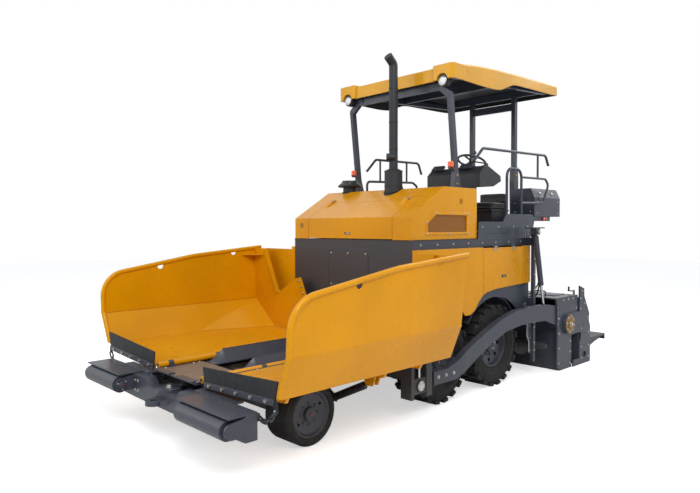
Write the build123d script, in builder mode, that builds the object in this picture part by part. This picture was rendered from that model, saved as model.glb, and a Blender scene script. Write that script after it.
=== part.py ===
from build123d import *
from math import cos, hypot, pi, radians, sin
import os

# Wheeled asphalt paver. Millimetres, +X forward, +Y left, +Z up, ground at Z = 0.
# Pieces of one side are drawn on the left, and their twins are mirrored about the XZ plane.

# ---- driving dimensions -------------------------------------------------------------------
RUN_GAP = 0.4              # radial clearance of a shaft in its bore
SIDE_GAP = 6.0             # side clearance of a piece that moves beside another
SEAT_GAP = 0.3             # clearance of a soft or curved piece on its seat
SKIN = 10.0                # thickness of hopper and body sheet

# wheels
REAR_TYRE_R = 490.0        # to the tips of the lugs
REAR_TYRE_W = 320.0
REAR_TREAD = 20.0          # height of a lug
REAR_LUGS = 20             # lugs in each of the two rows
REAR_RIM_R = 262.0
REAR_WHEEL_Y = 900.0       # middle of the tyre
MID_AXLE_X = 400.0
REAR_AXLE_X = -660.0
FRONT_TYRE_R = 280.0
FRONT_TYRE_W = 340.0
FRONT_RIM_R = 205.0
FRONT_WHEEL_Y = 875.0
FRONT_AXLE_X = 2235.0
KINGPIN_Y = 622.0
KINGPIN_R = 30.0
SPINDLE_R = 45.0

# chassis
FRAME_Y = 490.0            # inner face of a side plate
FRAME_T = 25.0
FRAME_FRONT = 2960.0
FRAME_REAR = -1500.0
FRAME_BOTTOM = 340.0
BELLY_Z = 1030.0           # floor under the engine
TUNNEL_Y = 400.0           # half-width of the conveyor tunnel
TUNNEL_Z = 480.0
BODY_FRONT = 790.0
BODY_REAR = -1500.0
BODY_Y = 970.0             # outer face of the body
RAIL_TOP = 1775.0
RAIL_H = 100.0
PANEL_Y = 1030.0           # outer face of the yellow side panels
DECK_Z = 1860.0

# front beam
BEAM_BACK = 3010.0
BEAM_FACE = 3120.0
BEAM_LOW = 300.0
BEAM_HIGH = 520.0

# hopper wing, as a section across the machine
HINGE_Y = 400.0
HINGE_Z = 600.0
HINGE_R = 30.0
WING_FLOOR = (424.0, 607.0)
WING_FOLD = (1513.0, 661.0)
WING_KNEE = (1640.0, 985.0)
WING_TOP = (1676.0, 1655.0)
WING_FRONT = 2950.0
WING_REAR = 875.0
WING_TUBE_R = 25.0
WING_BACK_X = 922.0        # rear plate of the wing
WING_CYL_X = 1647.0
WING_CYL_FOOT = (650.0, 230.0)
WING_CYL_EYE = (1200.0, 490.0)

# hood and platform
HOOD_Y = 946.0
HOOD_FRONT = 802.0
HOOD_REAR = -413.0
HOOD_BOTTOM = 1780.0
HOOD_NOSE_Z = 2027.0
HOOD_TOP_X = 230.0
HOOD_TOP = 2368.0
DOOR_Y = 690.0             # half-width of the hood's front door
DOOR_HINGE_X = 465.0
HOOD_HINGE = (472.0, 2242.0)        # pin of the front door's hinges, as (X, Z)
DOOR_AXIS = (1036.0, 1676.0)        # pin of the side doors' hinges, as (Y, Z)
ENGINE_TOP = 1900.0
STACK_X = 250.0
STACK_Y = 222.0
STACK_TOP = 3900.0
MUFFLER_R = 107.0
MUFFLER_TOP = 2585.0
INTAKE = (170.0, -600.0)
CANOPY_FRONT = 12.0
CANOPY_REAR = -2425.0
CANOPY_Y = 928.0
CANOPY_TOP = 3890.0

# screed
TOW_PIN = (980.0, 336.0)
TOW_PIN_R = 28.0
ARM_Y = 1190.0             # middle of the tow arm
ARM_T = 80.0
SCREED_Y = 1250.0
SCREED_FRONT = -1925.0
SCREED_REAR = -2420.0
SCREED_TOP = 960.0
EXT_FRONT = -2440.0
EXT_REAR = -2777.0
STEP_REAR = -3317.0
AUGER_X = -1700.0
AUGER_Z = 345.0
AUGER_R = 160.0
AUGER_END = 1130.0
LIFT_EYE = (-1570.0, 880.0)
LIFT_TOP = (-1348.0, 1850.0)
FRONT_ROLLER_X = 3237.0
FRONT_ROLLER_Z = 432.0
FRONT_ROLLER_R = 80.0
TOW_EYE_Z = 372.0

pieces = {}                # node name: builder


# ---- helpers -----------------------------------------------------------------------------
def block(x, y, z, mode=Mode.ADD):
    """A box between two limits on each axis."""
    middle = ((x[0] + x[1]) / 2, (y[0] + y[1]) / 2, (z[0] + z[1]) / 2)
    with Locations(middle):
        Box(abs(x[1] - x[0]), abs(y[1] - y[0]), abs(z[1] - z[0]), mode=mode)


def side_plane(y):
    """Drawn as (X, Z), with its normal towards -Y."""
    return Plane(origin=(0, y, 0), x_dir=(1, 0, 0), z_dir=(0, -1, 0))


def cross_plane(x):
    """Drawn as (Y, Z), with its normal towards +X."""
    return Plane.YZ.offset(x)


def plate(plane, points, thickness, mode=Mode.ADD):
    """A flat plate of that outline, its thickness halved by the plane."""
    with BuildSketch(plane) as outline:
        with BuildLine():
            Polyline(*points, close=True)
        make_face()
    extrude(outline.sketch, amount=thickness / 2, both=True, mode=mode)


def rod_between(start, end, radius, mode=Mode.ADD):
    """A round bar from one point to another."""
    reach = Vector(*end) - Vector(*start)
    with BuildSketch(Plane(origin=start, z_dir=reach)) as end_face:
        Circle(radius)
    extrude(end_face.sketch, amount=reach.length, mode=mode)


def tube_path(plane, points, bend, radius):
    """A tube bent along a polyline in a plane, with one radius for every bend."""
    with BuildLine(plane) as path:
        FilletPolyline(*points, radius=bend)
    with BuildSketch(Plane(origin=path.line @ 0, z_dir=path.line % 0)) as section:
        Circle(radius)
    sweep(section.sketch, path=path.line)


def mirrored(piece):
    with BuildPart() as twin:
        mirror(piece.part, about=Plane.XZ)
    return twin


def both_sides(name, piece):
    pieces[name + "_left"] = piece
    pieces[name + "_right"] = mirrored(piece)


def wheel_axis(x, y, z):
    """Local Z points outboard on the left side."""
    return Plane(origin=(x, y, z), x_dir=(1, 0, 0), z_dir=(0, 1, 0))


# ---- wheels ------------------------------------------------------------------------------
def driven_wheel(x):
    """Chunky tyre with two rows of lugs over its shoulders, on a dished rim with a hub cap."""
    half = REAR_TYRE_W / 2
    base_r = REAR_TYRE_R - REAR_TREAD
    lug_w = half + 10
    lug_l = 2 * pi * base_r / REAR_LUGS * 0.52
    hub = wheel_axis(x, REAR_WHEEL_Y, REAR_TYRE_R)
    with BuildPart() as wheel:
        # tyre, as (along the axle, radius)
        with BuildSketch(Plane(hub.origin, x_dir=(0, 1, 0), z_dir=(1, 0, 0))):
            with BuildLine():
                Polyline(
                    (-half + 45, REAR_RIM_R + SEAT_GAP),
                    (-half + 20, REAR_RIM_R + 22),
                    (-half + 2, (REAR_RIM_R + base_r) / 2),
                    (-half + 14, base_r - 22),
                    (-half + 40, base_r),
                    (half - 40, base_r),
                    (half - 14, base_r - 22),
                    (half - 2, (REAR_RIM_R + base_r) / 2),
                    (half - 20, REAR_RIM_R + 22),
                    (half - 45, REAR_RIM_R + SEAT_GAP),
                    close=True,
                )
            make_face()
        revolve(axis=Axis(hub.origin, (0, 1, 0)))
        # rows: side, turn of the row about the axle in parts of a lug's step
        for side, phase in ((-1, 0.0), (1, 0.5)):
            turn = phase * 360 / REAR_LUGS
            with Locations(hub * Location((0, 0, side * (half - lug_w / 2 - 1)), (0, 0, turn))):
                with PolarLocations(REAR_TYRE_R - REAR_TREAD / 2 - 8, REAR_LUGS):
                    Box(REAR_TREAD + 16, lug_l, lug_w)
        # rim, as (along the axle, radius)
        with BuildSketch(Plane(hub.origin, x_dir=(0, 1, 0), z_dir=(1, 0, 0))):
            with BuildLine():
                Polyline(
                    (-half + 40, REAR_RIM_R),
                    (-half + 40, REAR_RIM_R - 16),
                    (half - 110, REAR_RIM_R - 34),
                    (half - 120, 150),
                    (-half + 90, 120),
                    (-half + 90, SPINDLE_R + RUN_GAP),
                    (half - 90, SPINDLE_R + RUN_GAP),
                    (half - 90, 0),
                    (half - 40, 0),
                    (half - 40, 62),
                    (half - 62, 92),
                    (half - 104, 98),
                    (half - 104, 150),
                    (half - 92, REAR_RIM_R - 34),
                    (half - 40, REAR_RIM_R - 16),
                    (half - 40, REAR_RIM_R),
                    close=True,
                )
            make_face()
        revolve(axis=Axis(hub.origin, (0, 1, 0)))
        with Locations(hub * Location((0, 0, half - 106))):
            with PolarLocations(188, 8):
                Cylinder(24, 60, mode=Mode.SUBTRACT)
    return wheel


def front_wheel():
    """Plain solid tyre with square shoulders, on a flat disc open at the back for the knuckle."""
    half = FRONT_TYRE_W / 2
    middle = (FRONT_AXLE_X, FRONT_WHEEL_Y, FRONT_TYRE_R)
    with BuildPart() as wheel:
        with BuildSketch(Plane(middle, x_dir=(0, 1, 0), z_dir=(1, 0, 0))):
            with BuildLine():
                Polyline(
                    (-half + 18, FRONT_RIM_R + SEAT_GAP),
                    (-half, FRONT_RIM_R + 22),
                    (-half, FRONT_TYRE_R - 30),
                    (-half + 26, FRONT_TYRE_R),
                    (half - 26, FRONT_TYRE_R),
                    (half, FRONT_TYRE_R - 30),
                    (half, FRONT_RIM_R + 22),
                    (half - 18, FRONT_RIM_R + SEAT_GAP),
                    close=True,
                )
            make_face()
        revolve(axis=Axis(middle, (0, 1, 0)))
        with BuildSketch(Plane(middle, x_dir=(0, 1, 0), z_dir=(1, 0, 0))):
            with BuildLine():
                Polyline(
                    (-half + 18, FRONT_RIM_R),
                    (-half + 18, FRONT_RIM_R - 18),
                    (half - 70, FRONT_RIM_R - 18),
                    (half - 70, 90),
                    (-half + 110, 85),
                    (-half + 110, SPINDLE_R + RUN_GAP),
                    (half - 60, SPINDLE_R + RUN_GAP),
                    (half - 60, 0),
                    (half - 26, 0),
                    (half - 26, 60),
                    (half - 50, 66),
                    (half - 50, 118),
                    (half - 40, FRONT_RIM_R - 30),
                    (half - 18, FRONT_RIM_R - 12),
                    (half - 18, FRONT_RIM_R),
                    close=True,
                )
            make_face()
        revolve(axis=Axis(middle, (0, 1, 0)))
        with Locations(wheel_axis(*middle) * Location((0, 0, half - 50))):
            with PolarLocations(142, 2, start_angle=30):
                Cylinder(14, 80, mode=Mode.SUBTRACT)
    return wheel


both_sides("mid_wheel", driven_wheel(MID_AXLE_X))
both_sides("rear_wheel", driven_wheel(REAR_AXLE_X))
both_sides("front_wheel", front_wheel())

# ---- front axle and knuckles -------------------------------------------------------------
KNUCKLE_H = 90.0           # height of the kingpin's barrel in the axle's end
with BuildPart() as front_axle:
    block((FRONT_AXLE_X - 60, FRONT_AXLE_X + 60), (-FRAME_Y - 40, FRAME_Y + 40), (FRONT_TYRE_R - 70, FRONT_TYRE_R + 60))
    for side in (-1, 1):
        block((FRONT_AXLE_X - 45, FRONT_AXLE_X + 45), (side * (FRAME_Y + 30), side * KINGPIN_Y), (FRONT_TYRE_R - KNUCKLE_H / 2, FRONT_TYRE_R + KNUCKLE_H / 2))
        with Locations((FRONT_AXLE_X, side * KINGPIN_Y, FRONT_TYRE_R)):
            Cylinder(55, KNUCKLE_H)
            Cylinder(KINGPIN_R + RUN_GAP, KNUCKLE_H, mode=Mode.SUBTRACT)
    # saddle that carries the frame
    block((FRONT_AXLE_X - 90, FRONT_AXLE_X + 90), (-FRAME_Y, FRAME_Y), (FRONT_TYRE_R + 60, TUNNEL_Z - 20))
pieces["front_axle"] = front_axle

with BuildPart() as knuckle:
    with Locations((FRONT_AXLE_X, KINGPIN_Y, FRONT_TYRE_R)):
        Cylinder(KINGPIN_R, KNUCKLE_H + 60)
    for level in (-1, 1):
        low = FRONT_TYRE_R + level * (KNUCKLE_H / 2 + 1)
        high = FRONT_TYRE_R + level * (KNUCKLE_H / 2 + 31)
        block((FRONT_AXLE_X - 40, FRONT_AXLE_X + 40), (KINGPIN_Y - 40, KINGPIN_Y + 88), (low, high))
    web_y = (KINGPIN_Y + 62, KINGPIN_Y + 88)
    block((FRONT_AXLE_X - 40, FRONT_AXLE_X + 40), web_y, (FRONT_TYRE_R - KNUCKLE_H / 2 - 31, FRONT_TYRE_R + KNUCKLE_H / 2 + 31))
    spindle_end = FRONT_WHEEL_Y + FRONT_TYRE_W / 2 - 64
    rod_between((FRONT_AXLE_X, web_y[0] + 5, FRONT_TYRE_R), (FRONT_AXLE_X, spindle_end, FRONT_TYRE_R), SPINDLE_R)
    # steering arm, behind the axle
    block((FRONT_AXLE_X - 180, FRONT_AXLE_X - 30), (KINGPIN_Y - 22, KINGPIN_Y + 22), (FRONT_TYRE_R - KNUCKLE_H / 2 - 31, FRONT_TYRE_R - KNUCKLE_H / 2 - 1))
both_sides("knuckle", knuckle)

TIE_ROD_X = FRONT_AXLE_X - 160
TIE_ROD_Z = FRONT_TYRE_R - KNUCKLE_H / 2 - 31 - 14 - 2 * RUN_GAP
with BuildPart() as tie_rod:
    rod_between((TIE_ROD_X, -KINGPIN_Y + 25, TIE_ROD_Z), (TIE_ROD_X, KINGPIN_Y - 25, TIE_ROD_Z), 12)
    with Locations((TIE_ROD_X, KINGPIN_Y, TIE_ROD_Z), (TIE_ROD_X, -KINGPIN_Y, TIE_ROD_Z)):
        Cylinder(30, 28)
pieces["tie_rod"] = tie_rod

# ---- tandem cases with the spindles of the four driven wheels -----------------------------
CASE_INNER_Y = FRAME_Y + FRAME_T
SPINDLE_END_Y = REAR_WHEEL_Y + REAR_TYRE_W / 2 - 94
with BuildPart() as tandem_cases:
    for side in (-1, 1):
        case_y = (CASE_INNER_Y + REAR_WHEEL_Y - REAR_TYRE_W / 2 - 30) / 2
        case_t = REAR_WHEEL_Y - REAR_TYRE_W / 2 - 30 - CASE_INNER_Y
        with BuildSketch(side_plane(side * case_y)):
            with Locations(((MID_AXLE_X + REAR_AXLE_X) / 2, REAR_TYRE_R)):
                SlotCenterToCenter(MID_AXLE_X - REAR_AXLE_X, 260)
        extrude(amount=case_t / 2, both=True)
        for axle_x in (MID_AXLE_X, REAR_AXLE_X):
            rod_between((axle_x, side * case_y, REAR_TYRE_R), (axle_x, side * (REAR_WHEEL_Y - 75), REAR_TYRE_R), 100)
            rod_between((axle_x, side * case_y, REAR_TYRE_R), (axle_x, side * SPINDLE_END_Y, REAR_TYRE_R), SPINDLE_R)
pieces["tandem_cases"] = tandem_cases

# ---- chassis -----------------------------------------------------------------------------
EYE_T = 40.0               # thickness of a cylinder's eye
FOOT_PIN_R = 16.0          # pin of a cylinder's foot
LUG_T = 16.0               # lug beside a cylinder's eye
GUIDE_IN = ARM_Y - ARM_T / 2 - 40
GUIDE_OUT = ARM_Y + ARM_T / 2 + 10
GUIDE_LOW = 215.0
GUIDE_HIGH = 600.0
GUIDE_POSTS = ((1108.0, 22.0), (850.0, 45.0))   # middle and half-width of each post
AUGER_IN = 52.0            # inboard end of an auger
AUGER_BORE = 350.0         # depth of the bore that runs on the fixed shaft
with BuildPart() as main_frame:
    frame_outline = (
        (FRAME_REAR, FRAME_BOTTOM),
        (FRAME_FRONT - 900, FRAME_BOTTOM),
        (FRAME_FRONT - 800, FRAME_BOTTOM + 20),
        (FRAME_FRONT, FRAME_BOTTOM + 20),
        (FRAME_FRONT, BEAM_HIGH - 5),
        (FRAME_FRONT - 70, BEAM_HIGH - 5),
        (FRAME_FRONT - 80, HINGE_Z - 60),
        (BODY_FRONT + 40, HINGE_Z - 60),
        (BODY_FRONT - 40, BELLY_Z),
        (FRAME_REAR, BELLY_Z),
    )
    for side in (-1, 1):
        plate(side_plane(side * (FRAME_Y + FRAME_T / 2)), frame_outline, FRAME_T)
    # cross members as (x, width along x, bottom, top)
    for x, wide, low, high in (
        (FRAME_FRONT - 60, 40, FRAME_BOTTOM + 20, TUNNEL_Z - 20),
        (1700, 60, FRAME_BOTTOM, TUNNEL_Z - 20),
        (1060, 100, FRAME_BOTTOM, TUNNEL_Z - 20),
        (MID_AXLE_X, 120, FRAME_BOTTOM, TUNNEL_Z - 20),
        (REAR_AXLE_X, 120, FRAME_BOTTOM, TUNNEL_Z - 20),
        (FRAME_REAR + 60, 60, FRAME_BOTTOM, TUNNEL_Z - 20),
    ):
        block((x - wide / 2, x + wide / 2), (-FRAME_Y, FRAME_Y), (low, high))
    # belly plate under the engine
    block((BODY_REAR + SKIN, BODY_FRONT - 50), (-FRAME_Y - FRAME_T, FRAME_Y + FRAME_T), (BELLY_Z, BELLY_Z + SKIN))
    for side in (-1, 1):
        # guides of the tow point: two posts, a head over them and the arm that holds them
        for x, half in GUIDE_POSTS:
            block((x - half, x + half), (side * (GUIDE_OUT - 50), side * GUIDE_OUT), (GUIDE_LOW, GUIDE_HIGH))
        block((1086.0, 1130.0), (side * (GUIDE_IN - 10), side * (GUIDE_OUT - 20)), (GUIDE_LOW, GUIDE_HIGH))
        block((805.0, 1130.0), (side * GUIDE_IN, side * GUIDE_OUT), (GUIDE_HIGH - 20, GUIDE_HIGH))
        block((1000.0, 1130.0), (side * (FRAME_Y + FRAME_T), side * GUIDE_IN), (400.0, 500.0))
        # feet of the wing's cylinder
        for flank in (-1, 1):
            foot_y, foot_z = WING_CYL_FOOT
            plate(
                cross_plane(WING_CYL_X + flank * (EYE_T / 2 + SIDE_GAP + 8)),
                (
                    (side * (FRAME_Y + FRAME_T), 345), (side * (FRAME_Y + FRAME_T), 200),
                    (side * (foot_y + 35), foot_z - 35), (side * (foot_y + 35), foot_z + 20),
                    (side * (foot_y - 50), foot_z + 65), (side * (foot_y - 90), 345),
                ),
                LUG_T,
            )
        foot_reach = EYE_T / 2 + SIDE_GAP + LUG_T + 6
        rod_between(
            (WING_CYL_X - foot_reach, side * WING_CYL_FOOT[0], WING_CYL_FOOT[1]),
            (WING_CYL_X + foot_reach, side * WING_CYL_FOOT[0], WING_CYL_FOOT[1]), FOOT_PIN_R,
        )
    # gearbox of the augers on its arm behind the frame
    block((AUGER_X - 60, AUGER_X + 60), (-AUGER_IN + 2, AUGER_IN - 2), (AUGER_Z - 60, TUNNEL_Z - 25))
    block((AUGER_X, FRAME_REAR + 40), (-AUGER_IN + 2, AUGER_IN - 2), (AUGER_Z + 35, TUNNEL_Z - 25))
    rod_between((AUGER_X, -AUGER_IN - AUGER_BORE, AUGER_Z), (AUGER_X, AUGER_IN + AUGER_BORE, AUGER_Z), 20)
pieces["main_frame"] = main_frame

SLIDE_TRAVEL = 60.0
with BuildPart() as tow_slide:
    block((895.5, 1085.5), (GUIDE_OUT - 50, GUIDE_OUT - 8), (TOW_PIN[1] - 78, TOW_PIN[1] + 78))
    rod_between((TOW_PIN[0], GUIDE_OUT - 45, TOW_PIN[1]), (TOW_PIN[0], GUIDE_IN + 8, TOW_PIN[1]), TOW_PIN_R)
    # round scale on the outer face
    rod_between((TOW_PIN[0], GUIDE_OUT - 20, TOW_PIN[1]), (TOW_PIN[0], GUIDE_OUT + 4, TOW_PIN[1]), 64)
    # rod of the levelling cylinder
    rod_between((TOW_PIN[0], GUIDE_OUT - 29, TOW_PIN[1] + 70), (TOW_PIN[0], GUIDE_OUT - 29, GUIDE_HIGH - 20 - SIDE_GAP - SLIDE_TRAVEL), 14)
both_sides("tow_slide", tow_slide)

# ---- front beam with push rollers --------------------------------------------------------
ROLLER_IN = 590.0
ROLLER_OUT = 1280.0
with BuildPart() as front_beam:
    with BuildSketch(cross_plane(BEAM_BACK)):
        with BuildLine():
            Polyline(
                (-1310, BEAM_LOW + 20), (-520, BEAM_LOW), (520, BEAM_LOW), (1310, BEAM_LOW + 20),
                (1310, BEAM_HIGH), (330, BEAM_HIGH), (250, BEAM_HIGH - 65), (-250, BEAM_HIGH - 65),
                (-330, BEAM_HIGH), (-1310, BEAM_HIGH), close=True,
            )
        make_face()
    extrude(amount=BEAM_FACE - BEAM_BACK)
    for side in (-1, 1):
        # arms back to the frame
        block((FRAME_FRONT - 40, BEAM_BACK), (side * (FRAME_Y - SKIN - 30), side * (FRAME_Y - 1)), (FRAME_BOTTOM + 30, TUNNEL_Z + 20))
        # roller brackets, inner one rounded
        for y in (ROLLER_IN - 30, ROLLER_OUT + 10):
            with BuildSketch(side_plane(side * (y + 10))):
                with Locations((FRONT_ROLLER_X, FRONT_ROLLER_Z)):
                    Circle(62)
                with BuildLine():
                    Polyline((BEAM_FACE - 10, FRONT_ROLLER_Z - 62), (FRONT_ROLLER_X, FRONT_ROLLER_Z - 62), (FRONT_ROLLER_X, FRONT_ROLLER_Z + 62), (BEAM_FACE - 10, FRONT_ROLLER_Z + 80), close=True)
                make_face()
            extrude(amount=10, both=True)
        # guard plate over each roller and its slotted step behind
        block((BEAM_FACE - 20, FRONT_ROLLER_X + 30), (side * (ROLLER_IN - 40), side * (ROLLER_OUT + 30)), (BEAM_HIGH + 4, BEAM_HIGH + 16))
        block((BEAM_BACK, BEAM_FACE - 10), (side * (ROLLER_IN - 40), side * (ROLLER_OUT + 30)), (BEAM_HIGH - 1, BEAM_HIGH + 16))
        block((FRAME_FRONT - 40, BEAM_BACK + 30), (side * 430, side * 1000), (BEAM_HIGH - 1, BEAM_HIGH + 16))
        # fixed pin of the roller
        rod_between((FRONT_ROLLER_X, side * (ROLLER_IN - 50), FRONT_ROLLER_Z), (FRONT_ROLLER_X, side * (ROLLER_OUT + 34), FRONT_ROLLER_Z), 22)
        # eye for the chain
        block((BEAM_BACK - 60, BEAM_BACK), (side * 1210, side * 1260), (BEAM_HIGH - 80, BEAM_HIGH - 20))
    # round pad in the dip of the beam and the tow eye below it
    with Locations((BEAM_BACK + 30, 0, BEAM_HIGH - 60)):
        Cylinder(120, 40)
    with BuildSketch(Plane.XY.offset(TOW_EYE_Z)):
        with BuildLine():
            Polyline((BEAM_FACE - 20, -130), (3190, -62), (3190, 62), (BEAM_FACE - 20, 130), close=True)
        make_face()
        with Locations((3190, 0)):
            Circle(78)
            Circle(34, mode=Mode.SUBTRACT)
    extrude(amount=20, both=True)
pieces["front_beam"] = front_beam

with BuildPart() as push_roller:
    rod_between((FRONT_ROLLER_X, ROLLER_IN, FRONT_ROLLER_Z), (FRONT_ROLLER_X, ROLLER_OUT - 20, FRONT_ROLLER_Z), FRONT_ROLLER_R)
    rod_between((FRONT_ROLLER_X, ROLLER_IN - 1, FRONT_ROLLER_Z), (FRONT_ROLLER_X, ROLLER_OUT, FRONT_ROLLER_Z), 22 + RUN_GAP, mode=Mode.SUBTRACT)
both_sides("push_roller", push_roller)

# ---- hopper centre -----------------------------------------------------------------------
KNUCKLES = (1230.0, 1760.0, 2290.0, 2820.0)   # middle of each fixed hinge knuckle
KNUCKLE_LEN = 50.0
HINGE_PIN_R = 14.0
COVER_REAR = 2500.0
HOPPER_REAR = 935.0
with BuildPart() as hopper_centre:
    for side in (-1, 1):
        # ledge beside the conveyor, roof-shaped deflector and hinge barrel
        block((HOPPER_REAR, BEAM_BACK - 30), (side * 190, side * (HINGE_Y - HINGE_R - 8)), (HINGE_Z - 50, HINGE_Z - 38))
        block((HOPPER_REAR, FRAME_FRONT - 40), (side * 350, side * (HINGE_Y - HINGE_R - 8)), (TUNNEL_Z - 20, HINGE_Z - 45))
        with BuildSketch(cross_plane(HOPPER_REAR)):
            with BuildLine():
                Polyline((side * 195, HINGE_Z - 40), (side * 355, HINGE_Z - 40), (side * 275, HINGE_Z + 85), close=True)
            make_face()
        extrude(amount=COVER_REAR - 190 - HOPPER_REAR)
        with BuildSketch(cross_plane(COVER_REAR - 190)):
            with BuildLine():
                Polyline((side * 195, HINGE_Z - 40), (side * 355, HINGE_Z - 40), (side * 275, HINGE_Z + 85), close=True)
            make_face()
        with BuildSketch(cross_plane(COVER_REAR - 40)):
            with BuildLine():
                Polyline((side * 195, HINGE_Z - 40), (side * 355, HINGE_Z - 40), (side * 275, HINGE_Z - 32), close=True)
            make_face()
        loft()
    # fixed knuckles and pin of each wing's hinge
    for side in (-1, 1):
        for x in KNUCKLES:
            rod_between((x - KNUCKLE_LEN / 2, side * HINGE_Y, HINGE_Z), (x + KNUCKLE_LEN / 2, side * HINGE_Y, HINGE_Z), HINGE_R)
            block((x - KNUCKLE_LEN / 2, x + KNUCKLE_LEN / 2), (side * 352, side * (HINGE_Y + 20)), (TUNNEL_Z + 20, HINGE_Z - 10))
        rod_between((WING_BACK_X - 14, side * HINGE_Y, HINGE_Z), (WING_FRONT + 8, side * HINGE_Y, HINGE_Z), HINGE_PIN_R)
    # cover plate at the mouth, with two hinge straps
    block((COVER_REAR, FRAME_FRONT + 40), (-HINGE_Y + HINGE_R + 8, HINGE_Y - HINGE_R - 8), (HINGE_Z - 38, HINGE_Z - 25))
    for side in (-1, 1):
        block((FRAME_FRONT - 10, FRAME_FRONT + 60), (side * 60, side * 350), (HINGE_Z - 26, HINGE_Z - 12))
pieces["hopper_centre"] = hopper_centre

CONVEYOR_FRONT = 2480.0
with BuildPart() as conveyor:
    block((BODY_REAR - 60, CONVEYOR_FRONT), (-TUNNEL_Y + 60, TUNNEL_Y - 60), (TUNNEL_Z - 20, TUNNEL_Z - 9))
    slat_step = 180.0
    slats = int((CONVEYOR_FRONT - BODY_REAR) / slat_step)
    for k in range(slats):
        x = CONVEYOR_FRONT - 60 - k * slat_step
        block((x - 20, x + 20), (-TUNNEL_Y + 70, TUNNEL_Y - 70), (TUNNEL_Z - 10, TUNNEL_Z + 12))
    for y in (-300.0, -15.0, 15.0, 300.0):
        block((BODY_REAR - 60, CONVEYOR_FRONT), (y - 10, y + 10), (TUNNEL_Z - 10, TUNNEL_Z + 18))
pieces["conveyor"] = conveyor

# ---- hopper wings ------------------------------------------------------------------------
WALL_RISE = hypot(WING_TOP[0] - WING_KNEE[0], WING_TOP[1] - WING_KNEE[1])
WALL_LEAN = (WING_TOP[1] - WING_KNEE[1]) / WALL_RISE
wall_plane = Plane(
    origin=(0, WING_KNEE[0], WING_KNEE[1]),
    x_dir=(1, 0, 0),
    z_dir=(0, -WALL_LEAN, (WING_TOP[0] - WING_KNEE[0]) / WALL_RISE),
)
# top edge of the wall as (X, height), from the rear end round the front corner
WALL_EDGE = ((819.0, WING_TOP[1]), (1818.0, 1572.0), (WING_FRONT + 15, 1388.0), (WING_FRONT + 15, WING_KNEE[1]))
WALL_BENDS = (1500.0, 270.0)
# inboard to outboard corners of the rear plate, then its upper edge back, as (Y, Z)
BACK_PLATE = (
    (432.0, 612.0), (1500.0, 664.0), (1636.0, 985.0), (1670.0, 1644.0), (1388.0, 1644.0),
    (1128.0, 1096.0), (784.0, 1289.0), (697.0, 1305.0), (589.0, 1083.0), (452.0, 760.0),
)
WING_RIBS = (1300.0, 1790.0, 2870.0)


def on_wall(x, z):
    return (x, (z - WING_KNEE[1]) / WALL_LEAN)


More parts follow.
